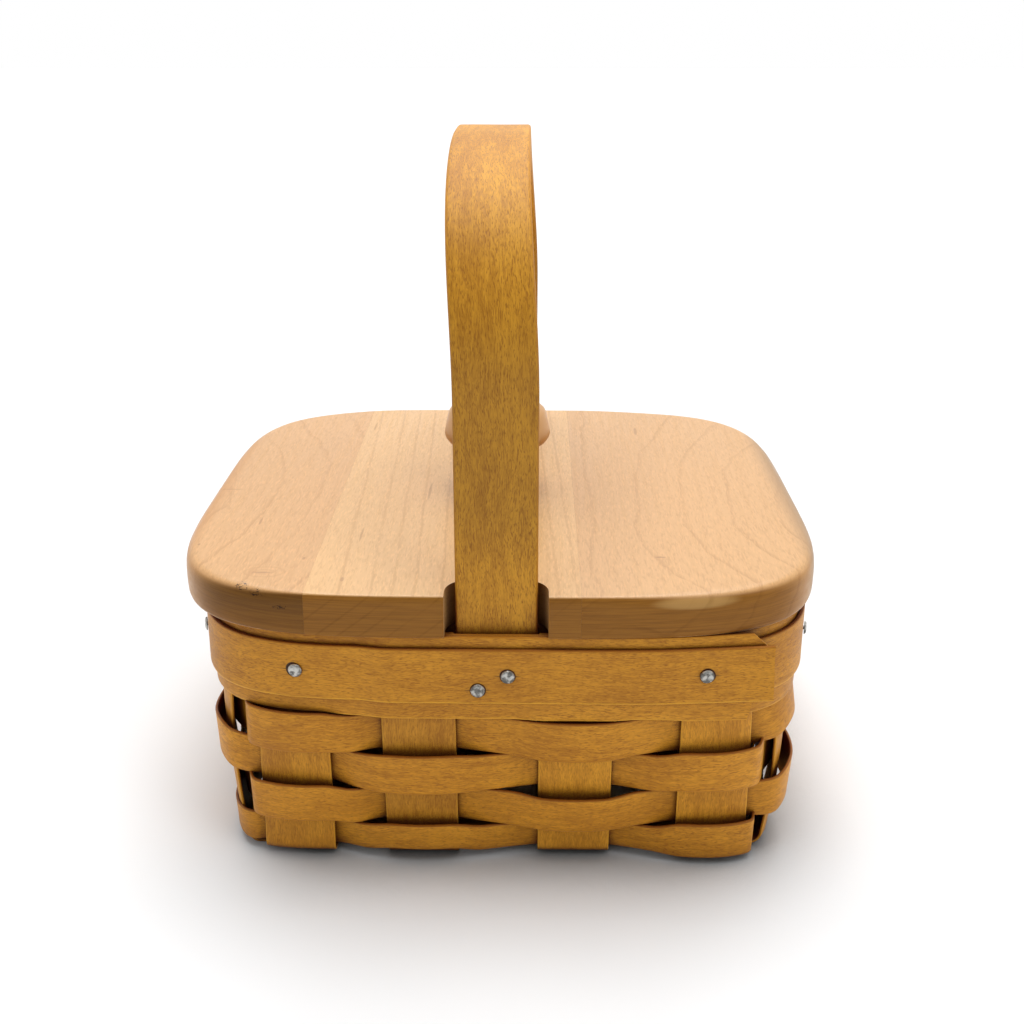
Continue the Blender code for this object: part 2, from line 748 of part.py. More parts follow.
def lid_outline():
    """Right half of the lid, from the back notch's mouth round to the front notch's end."""
    notch_half = HANDLE_WIDTH / 2.0 + NOTCH_SIDE_GAP
    notch_end = handle_half_span() - HANDLE_THICKNESS - NOTCH_END_GAP
    corner = (notch_half - NOTCH_CORNER_RADIUS, notch_end + NOTCH_CORNER_RADIUS)
    quarter = arc_points(corner, NOTCH_CORNER_RADIUS, 270.0, 360.0, 5)
    mouth = oval_reach(notch_half, LID_HALF_WIDTH, LID_HALF_DEPTH, LID_CORNER_POWER)
    mouth_angle = math.atan2(mouth, notch_half)
    for step in range(LID_OUTLINE_STEPS + 1):
        angle = blend(mouth_angle, 0.0, step / LID_OUTLINE_STEPS)
        along = abs(math.cos(angle) / LID_HALF_WIDTH) ** LID_CORNER_POWER
        up = abs(math.sin(angle) / LID_HALF_DEPTH) ** LID_CORNER_POWER
        radius = (along + up) ** (-1.0 / LID_CORNER_POWER)
        quarter.append((radius * math.cos(angle), radius * math.sin(angle)))
    half = quarter + [(x, -y) for x, y in quarter[-2::-1]]
    return half + [(-x, y) for x, y in half[::-1]]


def lid_blank(name, bottom):
    """The whole lid as one closed, round-edged board."""
    shape = bmesh.new()
    points = [shape.verts.new((x, y, bottom)) for x, y in lid_outline()]
    face = shape.faces.new(points)
    grown = bmesh.ops.extrude_face_region(shape, geom=[face])["geom"]
    lifted = [part for part in grown if isinstance(part, bmesh.types.BMVert)]
    bmesh.ops.translate(shape, verts=lifted, vec=(0.0, 0.0, LID_THICKNESS))
    bmesh.ops.recalc_face_normals(shape, faces=shape.faces)
    mesh = bpy.data.meshes.new(name)
    shape.to_mesh(mesh)
    shape.free()
    weights = mesh.attributes.new("bevel_weight_edge", "FLOAT", "EDGE")
    for edge in mesh.edges:
        first, second = (mesh.vertices[index].co for index in edge.vertices)
        level = abs(first.z - second.z) < MERGE_DISTANCE
        weights.data[edge.index].value = 1.0 if level else 0.0
    return mesh


def box_mesh(name, low, high):
    shape = bmesh.new()
    bmesh.ops.create_cube(shape, size=1.0)
    size = [last - first for first, last in zip(low, high)]
    middle = [(last + first) / 2.0 for first, last in zip(low, high)]
    bmesh.ops.scale(shape, vec=size, verts=shape.verts)
    bmesh.ops.translate(shape, vec=middle, verts=shape.verts)
    mesh = bpy.data.meshes.new(name)
    shape.to_mesh(mesh)
    shape.free()
    return mesh


def screw_profile(grow, bottom, tip, head_overrun=0.0):
    """Countersunk screw from its tip down to its head, grown for its hole."""
    head = SCREW_HEAD_RADIUS + grow
    shank = SCREW_SHANK_RADIUS + grow
    cone = bottom + SCREW_HEAD_DEPTH
    return [(0.0, tip), (shank * 0.4, tip), (shank, tip - 2.0 * SCREW_SHANK_RADIUS), (shank, cone + grow),
            (head, bottom + grow), (head, bottom - head_overrun), (0.0, bottom - head_overrun)]


def make_lid(bottom, material):
    margin = LID_THICKNESS
    far_side = 2.0 * LID_HALF_WIDTH
    far_end = 2.0 * LID_HALF_DEPTH
    left_edge = LEFT_BOARD_WIDTH - LID_HALF_WIDTH
    right_edge = LID_HALF_WIDTH - RIGHT_BOARD_WIDTH
    half_gap = CLEARANCE / 2.0
    spans = {
        "lid_board_left": (-far_side, left_edge - half_gap),
        "lid_board_middle": (left_edge + half_gap, right_edge - half_gap),
        "lid_board_right": (right_edge + half_gap, far_side),
    }
    boards = {}
    for name, (start, end) in spans.items():
        board = add_object(name, lid_blank(name, bottom), material)
        edges = board.modifiers.new("round_edges", "BEVEL")
        edges.width = LID_EDGE_ROUND
        edges.segments = LID_EDGE_STEPS
        edges.limit_method = "WEIGHT"
        low = (start, -far_end, bottom - margin)
        high = (end, far_end, bottom + LID_THICKNESS + margin)
        cut(board, add_cutter(f"{name}_span", box_mesh(f"{name}_span", low, high)), "INTERSECT")
        boards[name] = board
    tip = bottom + LID_THICKNESS + KNOB_SCREW_DEPTH
    hole = turned_mesh("screw_hole", screw_profile(CLEARANCE, bottom, tip, margin))
    cutter = add_cutter("screw_hole", hole)
    cutter.location.x = KNOB_PLACE
    cut(boards["lid_board_middle"], cutter)


def make_knob(bottom, material, steel):
    base = bottom + LID_THICKNESS + CLEARANCE
    radius = KNOB_RADIUS
    height = KNOB_HEIGHT
    crown = [(0.0, 1.0), (0.43, 0.977), (0.70, 0.925), (0.88, 0.825), (0.975, 0.73), (1.0, 0.665),
             (0.957, 0.59), (0.83, 0.535), (0.59, 0.503)]
    profile = [(radius * out, height * up) for out, up in crown]
    profile.append((KNOB_NECK_RADIUS * 1.14, height * 0.43))
    profile.append((KNOB_NECK_RADIUS, height * 0.32))
    profile.append((KNOB_NECK_RADIUS * 1.03, height * 0.19))
    profile.append((blend(KNOB_NECK_RADIUS, KNOB_FOOT_RADIUS, 0.6), height * 0.08))
    profile.append((KNOB_FOOT_RADIUS, 0.0))
    hole_radius = SCREW_SHANK_RADIUS + CLEARANCE
    hole_end = KNOB_SCREW_DEPTH
    profile += [(hole_radius, 0.0), (hole_radius, hole_end), (0.0, hole_end)]
    profile = [(out, base + up) for out, up in profile]
    knob = add_object("lid_knob", turned_mesh("lid_knob", profile), material)
    knob.location.x = KNOB_PLACE
    knob.data.shade_smooth()
    knob.data.set_sharp_from_angle(angle=math.radians(50.0))
    tip = base + KNOB_SCREW_DEPTH - CLEARANCE
    screw = add_object("knob_screw", turned_mesh("knob_screw", screw_profile(0.0, bottom, tip), 16), steel)
    screw.location.x = KNOB_PLACE
    screw.data.set_sharp_from_angle(angle=math.radians(50.0))


honey = make_material("honey_maple", HONEY_MAPLE, 0.5)
pale = make_material("pale_maple", PALE_MAPLE, 0.4)
tack_steel = make_material("tack_steel", TACK_STEEL, 0.45, 1.0)
screw_steel = make_material("screw_steel", SCREW_STEEL, 0.35, 1.0)

upright_splints = make_uprights(honey)
make_weavers(honey)
outer_band, trim_strip, inner_band, trim_skin, trim_step = make_rim(honey)
bent_handle = make_handle(honey)
tack_holes = make_tacks(trim_skin, trim_step, tack_steel)

for pierced in (outer_band, trim_strip):
    cut(pierced, tack_holes["rim_tack"])
    cut(pierced, tack_holes["handle_tack"])
cut(inner_band, tack_holes["rim_tack"])
cut(bent_handle, tack_holes["handle_tack"])
for splint_name, splint in upright_splints.items():
    if splint_name[-1] in "14":
        cut(splint, tack_holes["rim_tack"])

lid_bottom = RIM_HEIGHT + CLEARANCE
make_lid(lid_bottom, pale)
make_knob(lid_bottom, pale, screw_steel)
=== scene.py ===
"""Fine shapes, wood and steel materials, light and camera for the woven pie basket."""

import functools
import math

import bmesh
import bpy
from mathutils import Matrix, Vector, noise


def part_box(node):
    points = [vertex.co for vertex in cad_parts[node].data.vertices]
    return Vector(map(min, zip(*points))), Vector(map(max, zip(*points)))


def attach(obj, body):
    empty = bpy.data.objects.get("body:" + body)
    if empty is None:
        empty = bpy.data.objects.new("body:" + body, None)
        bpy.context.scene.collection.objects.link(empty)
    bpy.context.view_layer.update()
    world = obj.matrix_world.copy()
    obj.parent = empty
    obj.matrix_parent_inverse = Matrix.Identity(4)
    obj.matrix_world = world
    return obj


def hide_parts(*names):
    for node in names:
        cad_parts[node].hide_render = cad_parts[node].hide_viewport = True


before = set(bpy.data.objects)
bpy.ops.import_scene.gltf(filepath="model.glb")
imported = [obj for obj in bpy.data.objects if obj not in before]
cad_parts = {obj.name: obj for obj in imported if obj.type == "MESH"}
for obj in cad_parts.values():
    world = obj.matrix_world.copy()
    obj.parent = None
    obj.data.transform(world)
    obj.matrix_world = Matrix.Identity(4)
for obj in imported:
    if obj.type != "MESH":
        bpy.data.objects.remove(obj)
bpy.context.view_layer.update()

MM = 0.001

# Sizes shared with the solid model
CLEARANCE = 0.3 * MM
UPRIGHT_WIDTH = 23.0 * MM
UPRIGHT_THICKNESS = 1.0 * MM
WEAVER_THICKNESS = 1.0 * MM
BAND_THICKNESS = 1.3 * MM
INNER_BAND_THICKNESS = 1.2 * MM
RIM_HEIGHT = 83.7 * MM
BAND_FOOT = 55.5 * MM
TRIM_TOP = 80.2 * MM
TRIM_FOOT = 61.9 * MM
INNER_BAND_TOP = 83.3 * MM
INNER_BAND_FOOT = 58.3 * MM
UPRIGHT_TOP = 83.2 * MM
WALL_PLACE = 1.8 * MM
RIM_HALF_WIDTH = 95.3 * MM
RIM_HALF_DEPTH = 91.0 * MM
FOOT_HALF_WIDTH = 87.3 * MM
FOOT_HALF_DEPTH = 84.5 * MM
RIM_POWER = 5.0
FOOT_POWER = 12.0
LEAN_POWER = 2.0
RIM_PLACES_ACROSS = (-63.7 * MM, -24.3 * MM, 24.3 * MM, 68.0 * MM)
RIM_PLACES_ALONG = (-67.0 * MM, -20.7 * MM, 20.7 * MM, 62.5 * MM)
FOOT_PLACES_ACROSS = (-64.2 * MM, -24.3 * MM, 24.3 * MM, 68.8 * MM)
FOOT_PLACES_ALONG = (-68.0 * MM, -20.7 * MM, 20.7 * MM, 61.5 * MM)
FOOT_BEND_RADIUS = 3.0 * MM
FLAT_OVERRUN = 1.5 * MM
WEAVER_LEVELS = ((41.7, 55.0), (27.8, 41.1), (13.9, 27.2), (3.3, 13.3))
WEAVER_STARTS = (7, 8, 9, 6)
WEAVER_BULGE = 4.2 * MM
WEAVER_SINK = 2.6 * MM
WEAVER_EDGE_SHARE = 0.73
WEAVER_LAP = 0.3
FRONT_PLACES = (-64.0, -24.3, 24.3, 68.4)
SETTLED_TOPS = ((1.7, 0.3, -0.5, 0.0), (2.0, 0.7, 0.5, 2.0), (2.6, 0.5, -1.5, 0.0), (1.2, 1.5, 0.3, 2.3))
SETTLED_FEET = ((1.0, 0.2, -1.2, -0.3), (1.6, -0.4, 0.3, 1.1), (2.2, 0.5, -0.8, 0.0), (0.0, 1.6, 0.0, -0.9))
SETTLED_BAND = (0.8, 0.0, -0.6, -0.7)
DRAWN_TOPS = ((2.8, 3.5), (0.9, 2.0), (2.5, 0.0), (3.1, 3.4))
DRAWN_FEET = ((2.8, 1.2), (0.9, 2.0), (2.5, -0.3), (2.3, 3.4))
RAISED_TOPS = ((0.0, 3.4), (2.4, 2.5), (2.2, 3.3), (-0.8, 2.2))
RAISED_FEET = ((-2.2, 3.4), (2.2, -2.2), (-2.0, 2.4), (0.0, 0.0))
FLARED_FEET = {0: 2.2, 2: 0.9}
HANDLE_WIDTH = 24.6 * MM
HANDLE_THICKNESS = 5.3 * MM
HANDLE_HALF_SPAN = 90.81 * MM
HANDLE_FOOT = 57.5 * MM
HANDLE_SPRING = 155.0 * MM
HANDLE_RISE = 66.6 * MM
HANDLE_POWER = 2.45
HANDLE_LEAN = -3.0 * MM
BAND_START = -100.0 * MM
SPRING_START = -12.5 * MM
BAND_END = 8.0 * MM
TRIM_START = 5.0 * MM
TRIM_END = 15.4 * MM
LAP_RAMP = 12.0 * MM
LID_HALF_WIDTH = 103.5 * MM
LID_HALF_DEPTH = 96.0 * MM
LID_FOOT = 84.0 * MM
LID_THICKNESS = 13.0 * MM
LID_POWER = 4.35
LID_JOINTS = (-57.1 * MM, 25.1 * MM)
NOTCH_HALF = 15.5 * MM
NOTCH_END = 82.71 * MM
NOTCH_CORNER = 8.5 * MM
KNOB_PLACE = -2.0 * MM


def smooth_step(share):
    share = min(max(share, 0.0), 1.0)
    return share * share * (3.0 - 2.0 * share)


def blend(first, last, share):
    return first + (last - first) * share


def ripple(*place, seed=0.0):
    """Smooth noise between about -1 and 1."""
    point = Vector((place[0], place[1] if len(place) > 1 else 0.0, seed * 7.31))
    return noise.noise(point)


# Wall of the basket

def wall_spread(height):
    if height > BAND_FOOT:
        return blend(wall_spread(BAND_FOOT), 1.0, (height - BAND_FOOT) / (RIM_HEIGHT - BAND_FOOT))
    return 1.0 - (1.0 - max(height / RIM_HEIGHT, 0.0)) ** LEAN_POWER


def upright_centre(height, index, runs_across):
    foot = FOOT_PLACES_ACROSS if runs_across else FOOT_PLACES_ALONG
    rim = RIM_PLACES_ACROSS if runs_across else RIM_PLACES_ALONG
    return blend(foot[index], rim[index], wall_spread(height))


class WallLoop:
    """The wall at one height, walked anticlockwise from the middle of the front."""

    STEPS = 720

    def __init__(self, height):
        spread = wall_spread(height)
        self.height = height
        self.width = blend(FOOT_HALF_WIDTH, RIM_HALF_WIDTH, spread)
        self.depth = blend(FOOT_HALF_DEPTH, RIM_HALF_DEPTH, spread)
        self.power = blend(FOOT_POWER, RIM_POWER, spread)
        self.lengths = [0.0]
        last = self.point(0.0)
        for step in range(1, self.STEPS + 1):
            here = self.point(step / self.STEPS)
            self.lengths.append(self.lengths[-1] + (here - last).length)
            last = here
        self.perimeter = self.lengths[-1]

    def point(self, turn):
        angle = turn * math.tau - math.pi / 2.0
        along = abs(math.cos(angle) / self.width) ** self.power
        up = abs(math.sin(angle) / self.depth) ** self.power
        radius = (along + up) ** (-1.0 / self.power)
        return Vector((WALL_PLACE + radius * math.cos(angle), radius * math.sin(angle), self.height))

    def normal(self, point):
        x = point.x - WALL_PLACE
        across = math.copysign(abs(x / self.width) ** (self.power - 1.0) / self.width, x)
        along = math.copysign(abs(point.y / self.depth) ** (self.power - 1.0) / self.depth, point.y)
        return Vector((across, along, 0.0)).normalized()

    def place(self, length):
        length = length % self.perimeter
        low = 0
        high = self.STEPS
        while high - low > 1:
            middle = (low + high) // 2
            if self.lengths[middle] <= length:
                low = middle
            else:
                high = middle
        share = (length - self.lengths[low]) / (self.lengths[high] - self.lengths[low])
        point = self.point((low + share) / self.STEPS)
        return point, self.normal(point)

    def length_at(self, x, y):
        turn = ((math.atan2(y, x - WALL_PLACE) + math.pi / 2.0) % math.tau) / math.tau
        step = turn * self.STEPS
        low = min(int(step), self.STEPS - 1)
        return blend(self.lengths[low], self.lengths[low + 1], step - low)

    def reach(self, place, here, there):
        return there * (1.0 - min(abs(place) / here, 1.0) ** self.power) ** (1.0 / self.power)

    def upright_length(self, index, runs_across, side):
        centre = upright_centre(self.height, index, runs_across)
        if runs_across:
            return self.length_at(centre, side * self.reach(centre - WALL_PLACE, self.width, self.depth))
        return self.length_at(WALL_PLACE + side * self.reach(centre, self.depth, self.width), centre)

    def crossings(self):
        found = []
        for runs_across in (True, False):
            for index in range(4):
                for side in (-1.0, 1.0):
                    found.append(self.upright_length(index, runs_across, side))
        return sorted(found)


@functools.cache
def wall_loop(height):
    return WallLoop(height)


# Strips of wood

def cross_section(width, thickness, rounding, steps, columns):
    """Places across a strip with the half thickness at each, edge to edge."""
    half = width / 2.0 - rounding
    places = [blend(-half, half, index / columns) for index in range(columns + 1)]
    section = [(place, thickness / 2.0) for place in places]
    for step in range(1, steps + 1):
        angle = step / steps * math.pi / 2.0
        place = half + rounding * math.sin(angle)
        depth = thickness / 2.0 - rounding + rounding * math.cos(angle)
        section.append((place, depth))
        section.insert(0, (-place, depth))
    return section


def strip(name, column_at, section, outward, seed, swell=0.06 * MM, body="basket"):
    """A closed, round-edged strip; column_at gives the points along it at a place across it.

    Its grain map runs along the strip in metres, and across it from the middle of each face.
    """
    columns = [column_at(place) for place, depth in section]
    count = len(columns[0])
    width = len(section)
    walk = [0.0]
    middle = columns[width // 2]
    for first, last in zip(middle, middle[1:]):
        walk.append(walk[-1] + (last - first).length)
    vertices = []
    for side in (1.0, -1.0):
        for k, (place, depth) in enumerate(section):
            before = columns[max(k - 1, 0)]
            after = columns[min(k + 1, width - 1)]
            column = columns[k]
            for i in range(count):
                along = column[min(i + 1, count - 1)] - column[max(i - 1, 0)]
                normal = along.cross(after[i] - before[i]).normalized() * outward
                lift = swell * ripple(walk[i] * 55.0, place * 70.0, seed=seed)
                vertices.append(column[i] + normal * (side * depth + lift))
    around = [0.0]
    for first, last in zip(section, section[1:]):
        around.append(around[-1] + math.hypot(last[0] - first[0], last[1] - first[1]))
    around = [distance - around[-1] / 2.0 for distance in around]
    faces = []
    maps = []
    shift = seed * 0.83

    def index(side, k, i):
        return (side * width + k) * count + i

    def add(corners, places):
        if outward < 0.0:
            corners = corners[::-1]
            places = places[::-1]
        faces.append(corners)
        maps.append(places)

    for i in range(count - 1):
        u = shift + walk[i]
        w = shift + walk[i + 1]
        for k in range(width - 1):
            a = around[k]
            b = around[k + 1]
            add([index(0, k, i), index(0, k, i + 1), index(0, k + 1, i + 1), index(0, k + 1, i)],
                [(u, a), (w, a), (w, b), (u, b)])
            a += 0.2
            b += 0.2
            add([index(1, k + 1, i), index(1, k + 1, i + 1), index(1, k, i + 1), index(1, k, i)],
                [(u, b), (w, b), (w, a), (u, a)])
        edge = section[-1][1] * 2.0
        a = around[-1]
        b = a + edge
        add([index(0, width - 1, i), index(0, width - 1, i + 1), index(1, width - 1, i + 1), index(1, width - 1, i)],
            [(u, a), (w, a), (w, b), (u, b)])
        add([index(1, 0, i), index(1, 0, i + 1), index(0, 0, i + 1), index(0, 0, i)],
            [(u, -b), (w, -b), (w, -a), (u, -a)])
    for k in range(width - 1):
        a = around[k]
        b = around[k + 1]
        end = shift + walk[-1]
        add([index(0, k, 0), index(0, k + 1, 0), index(1, k + 1, 0), index(1, k, 0)],
            [(shift, a), (shift, b), (shift - edge, b), (shift - edge, a)])
        add([index(1, k, count - 1), index(1, k + 1, count - 1), index(0, k + 1, count - 1), index(0, k, count - 1)],
            [(end + edge, a), (end + edge, b), (end, b), (end, a)])
    mesh = bpy.data.meshes.new(name)
    mesh.from_pydata(vertices, [], faces)
    layer = mesh.uv_layers.new(name="grain")
    flat = [value for places in maps for place in places for value in place]
    layer.data.foreach_set("uv", flat)
    mesh.validate()
    mesh.shade_smooth()
    mesh.set_sharp_from_angle(angle=math.radians(50.0))
    item = bpy.data.objects.new(name, mesh)
    bpy.context.scene.collection.objects.link(item)
    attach(item, body)
    return item


def dress(item, node, material):
    item.data.materials.clear()
    item.data.materials.append(material)
    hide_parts(node)


# Upright splints

def level_share(place, crossings, first_sign):
    flat = UPRIGHT_WIDTH / 2.0 + FLAT_OVERRUN
    signs = [first_sign * (-1) ** index for index in range(len(crossings))]
    for index in range(len(crossings) - 1):
        if place <= crossings[index + 1]:
            start = crossings[index] + flat
            end = crossings[index + 1] - flat
            return blend(signs[index], signs[index + 1], smooth_step((place - start) / (end - start)))
    return signs[-1]


def upright_column(index, offset, runs_across, first_sign, seed):
    """Middle of a splint at one place across it, down a wall, under the basket and up again."""
    crossings = FOOT_PLACES_ALONG if runs_across else FOOT_PLACES_ACROSS
    lift = (UPRIGHT_THICKNESS + CLEARANCE) / 2.0
    base_level = lift + UPRIGHT_THICKNESS / 2.0
    bend_top = 2.0 * lift + base_level + FOOT_BEND_RADIUS
    heights = [blend(UPRIGHT_TOP, BAND_FOOT, step / 8.0) for step in range(8)]
    heights += [blend(BAND_FOOT, bend_top, step / 26.0) for step in range(26)]
    foot = FOOT_PLACES_ACROSS if runs_across else FOOT_PLACES_ALONG
    base_place = foot[index] + offset

    def wall_point(height, side):
        loop = wall_loop(round(height, 6))
        length = loop.upright_length(index, runs_across, side)
        forward = -side if runs_across else side
        sway = 0.15 * MM * ripple(height * 30.0, side, seed=seed)
        point = loop.place(length + forward * (offset + sway))[0]
        if runs_across and side < 0.0:
            point.y -= FLARED_FEET.get(index, 0.0) * MM * (1.0 - smooth_step(height / (15.0 * MM)))
        return point

    def half_column(side, level):
        floor = base_level + lift * level
        points = [wall_point(height, side) for height in heights]
        foot_point = wall_point(floor + FOOT_BEND_RADIUS, side)
        place, reach = (foot_point.x, foot_point.y) if runs_across else (foot_point.y, foot_point.x)
        for step in range(9):
            share = step / 8.0
            inward = FOOT_BEND_RADIUS * (1.0 - math.cos(share * math.pi / 2.0))
            height = floor + FOOT_BEND_RADIUS * (1.0 - math.sin(share * math.pi / 2.0))
            across = blend(place, base_place, smooth_step(share))
            along = reach - side * inward
            points.append(Vector((across, along, height) if runs_across else (along, across, height)))
        return points

    base = []
    start = crossings[0] - 6.0 * MM
    end = crossings[-1] + 6.0 * MM
    for step in range(61):
        place = blend(start, end, step / 60.0)
        height = base_level + lift * level_share(place, crossings, first_sign)
        base.append(Vector((base_place, place, height) if runs_across else (place, base_place, height)))
    return half_column(-1.0, first_sign) + base + half_column(1.0, -first_sign)[::-1]


def make_uprights():
    section = cross_section(UPRIGHT_WIDTH, UPRIGHT_THICKNESS, 0.3 * MM, 2, 6)
    number = 0
    for way, runs_across, sense in (("front_back", True, 1), ("side_side", False, -1)):
        for index in range(4):
            number += 1
            seed = float(number)
            first_sign = sense * (-1) ** index
            name = f"splint_{way}_{index + 1}"

            def column_at(place):
                return upright_column(index, place, runs_across, first_sign, seed)

            outward = 1.0 if runs_across else -1.0
            item = strip(name, column_at, section, outward, seed)
            material = splint_material(f"{name}_wood", seed, UPRIGHT_TONES[number % 4], UPRIGHT_WIDTH / 2.0,
                                       (1.2, 1.2), fleck=0.75)
            dress(item, f"upright_{way}_{index + 1}", material)


# Woven rows

def weaver_wave(share, pitch):
    half_upright = UPRIGHT_WIDTH / 2.0 / pitch
    distance = min(share, 1.0 - share)
    if distance < half_upright:
        wave = 1.0 - (1.0 - WEAVER_EDGE_SHARE) * (distance / half_upright) ** 2
        return wave if share < 0.5 else -wave
    turn = (share - half_upright) / (1.0 - 2.0 * half_upright)
    edge_slope = 2.0 * (1.0 - WEAVER_EDGE_SHARE) * (1.0 - 2.0 * half_upright) / half_upright
    middle_turn = turn * (1.0 - turn) * (1.0 - 2.0 * turn)
    return WEAVER_EDGE_SHARE * (1.0 - 2.0 * smooth_step(turn)) - edge_slope * middle_turn


def settled(point, levels):
    """How much higher or lower the front lies at each of its four uprights."""
    lift = 0.0
    for number, (place, level) in enumerate(zip(FRONT_PLACES, levels)):
        away = abs(point.x - place * MM) / (20.0 * MM)
        outer = (number == 0 and point.x < place * MM) or (number == 3 and point.x > place * MM)
        near = 1.0 if outer else smooth_step((1.0 - away) * 1.8)
        lift += level * MM * near
    return lift * (1.0 - smooth_step((point.y + 80.0 * MM) / (22.0 * MM)))


def raised(point, levels):
    """How much higher or lower a row lies at the front uprights of both sides."""
    level = levels[0 if point.x < WALL_PLACE else 1] * MM
    reach = smooth_step((abs(point.x) - 76.0 * MM) / (8.0 * MM))
    rise = smooth_step((point.y + 87.0 * MM) / (14.0 * MM))
    return level * reach * rise * (1.0 - smooth_step((point.y + 45.0 * MM) / (30.0 * MM)))


def drawn_in(point, row, amounts):
    """How far a row is drawn in round the two front corners."""
    left = point.x < WALL_PLACE
    amount = amounts[0 if left else 1] * MM
    over_front = (row % 2 == 0) == left
    edge = 76.5 * MM if left else 80.5 * MM
    reach = smooth_step((abs(point.x) - edge) / (7.0 * MM))
    if over_front:
        fade = 1.0 - smooth_step((point.y + 77.0 * MM) / (11.0 * MM))
    else:
        fade = 1.0 - smooth_step((point.y + 42.0 * MM) / (30.0 * MM))
    return (amount if left else -amount) * reach * fade


def weaver_rail(height, row, levels, sides, drawn):
    loop = wall_loop(round(height, 6))
    crossings = loop.crossings()
    count = len(crossings)
    first = WEAVER_STARTS[row] - WEAVER_LAP
    last = WEAVER_STARTS[row] + count + WEAVER_LAP
    steps = round((last - first) * 24)
    mean = (WEAVER_BULGE - WEAVER_SINK) / 2.0
    swing = (WEAVER_BULGE + WEAVER_SINK) / 2.0
    points = []
    for step in range(steps + 1):
        walk = blend(first, last, step / steps)
        index = math.floor(walk)
        here = crossings[index % count] + loop.perimeter * (index // count)
        there = crossings[(index + 1) % count] + loop.perimeter * ((index + 1) // count)
        side = 1.0 if (index + row) % 2 == 0 else -1.0
        lap = smooth_step((walk - (last - 3.0 * WEAVER_LAP)) / WEAVER_LAP)
        offset = mean + side * swing * weaver_wave(walk - index, there - here)
        offset -= lap * (WEAVER_THICKNESS + CLEARANCE)
        point, normal = loop.place(blend(here, there, walk - index))
        point = point + normal * offset
        lift = settled(point, levels) + raised(point, sides)
        points.append(point + Vector((drawn_in(point, row, drawn), 0.0, lift)))
    return points


def make_weavers():
    for row, (low, high) in enumerate(WEAVER_LEVELS):
        low *= MM
        high *= MM
        seed = 11.0 + row
        bottom = weaver_rail(low, row, SETTLED_FEET[row], RAISED_FEET[row], DRAWN_FEET[row])
        top = weaver_rail(high, row, SETTLED_TOPS[row], RAISED_TOPS[row], DRAWN_TOPS[row])
        height = high - low
        section = cross_section(height, WEAVER_THICKNESS, 0.3 * MM, 2, 4)

        def column_at(place):
            share = place / height + 0.5
            points = []
            for step, (first, last) in enumerate(zip(bottom, top)):
                point = first.lerp(last, share)
                point.z += 0.22 * MM * ripple(step * 0.045, seed=seed) * (1.0 if row < 3 else 0.5)
                points.append(point)
            return points

        item = strip(f"weaver_{row + 1}", column_at, section, 1.0, seed)
        material = splint_material(f"weaver_{row + 1}_wood", seed, WEAVER_TONES[row], height / 2.0, (0.85, 0.40))
        dress(item, f"weaver_row_{row + 1}", material)


# Rim bands

def right_upright_length(height):
    loop = wall_loop(round(height, 6))
    centre = RIM_PLACES_ACROSS[3]
    return loop.length_at(centre, -loop.reach(centre - WALL_PLACE, loop.width, loop.depth))


def lapped_point(height, offset, lap_step, length):
    """A point on a band at a distance from the middle of the right upright, once round or more."""
    loop = wall_loop(round(height, 6))
    middle = right_upright_length(height)
    spring = loop.perimeter + SPRING_START
    ramp_end = loop.perimeter + BAND_START
    rise = smooth_step((length - ramp_end + LAP_RAMP) / LAP_RAMP)
    along = min(length, spring)
    point, normal = loop.place(middle + along)
    point = point + normal * (offset + lap_step * rise)
    return point + Vector((-normal.y, normal.x, 0.0)) * (length - along)


def lapped_strip(name, foot, top, offset, thickness, start, end, seed, end_cut, levels):
    """One band of the rim; end_cut is how much shorter its end is at a share of its height."""
    section = cross_section(top - foot, thickness, 0.3 * MM, 2, 14)
    lap_step = BAND_THICKNESS + CLEARANCE
    stations = 330

    def rail(height, share):
        loop = wall_loop(round(height, 6))
        last = loop.perimeter + end - end_cut(share)
        return [lapped_point(height, offset, lap_step, blend(start, last, step / stations))
                for step in range(stations + 1)]

    def column_at(place):
        share = place / (top - foot) + 0.5
        low = rail(foot, share)
        high = rail(top, share)
        points = []
        for step, (first, last) in enumerate(zip(low, high)):
            point = first.lerp(last, share)
            point.z += 0.16 * MM * ripple(step * 0.05, seed=seed) + settled(point, levels) * (1.0 - share) ** 2
            points.append(point)
        return points

    return strip(name, column_at, section, 1.0, seed)


def inner_column(place, height_low, height_high):
    share = place / (height_high - height_low) + 0.5
    rails = []
    for height in (height_low, height_high):
        loop = wall_loop(round(height, 6))
        plain = UPRIGHT_THICKNESS / 2.0 + CLEARANCE + INNER_BAND_THICKNESS / 2.0
        behind_leg = HANDLE_HALF_SPAN - HANDLE_THICKNESS - CLEARANCE - INNER_BAND_THICKNESS / 2.0
        flat = HANDLE_WIDTH / 2.0 + 0.5 * MM
        far = flat + UPRIGHT_WIDTH
        start = loop.length_at(WALL_PLACE - loop.reach(20.7 * MM, loop.depth, loop.width), 20.7 * MM)
        lap = INNER_BAND_THICKNESS + CLEARANCE
        points = []
        for step in range(301):
            length = start + step / 300.0 * (loop.perimeter + UPRIGHT_WIDTH)
            point, normal = loop.place(length)
            near_leg = 1.0 - smooth_step((abs(point.x) - flat) / (far - flat))
            if abs(point.x) > far:
                near_leg = 0.0
            offset = blend(plain, loop.depth - behind_leg, near_leg)
            offset += lap * smooth_step((length - start - loop.perimeter + LAP_RAMP) / LAP_RAMP)
            points.append(point - normal * offset)
        rails.append(points)
    return [low.lerp(high, share) for low, high in zip(*rails)]


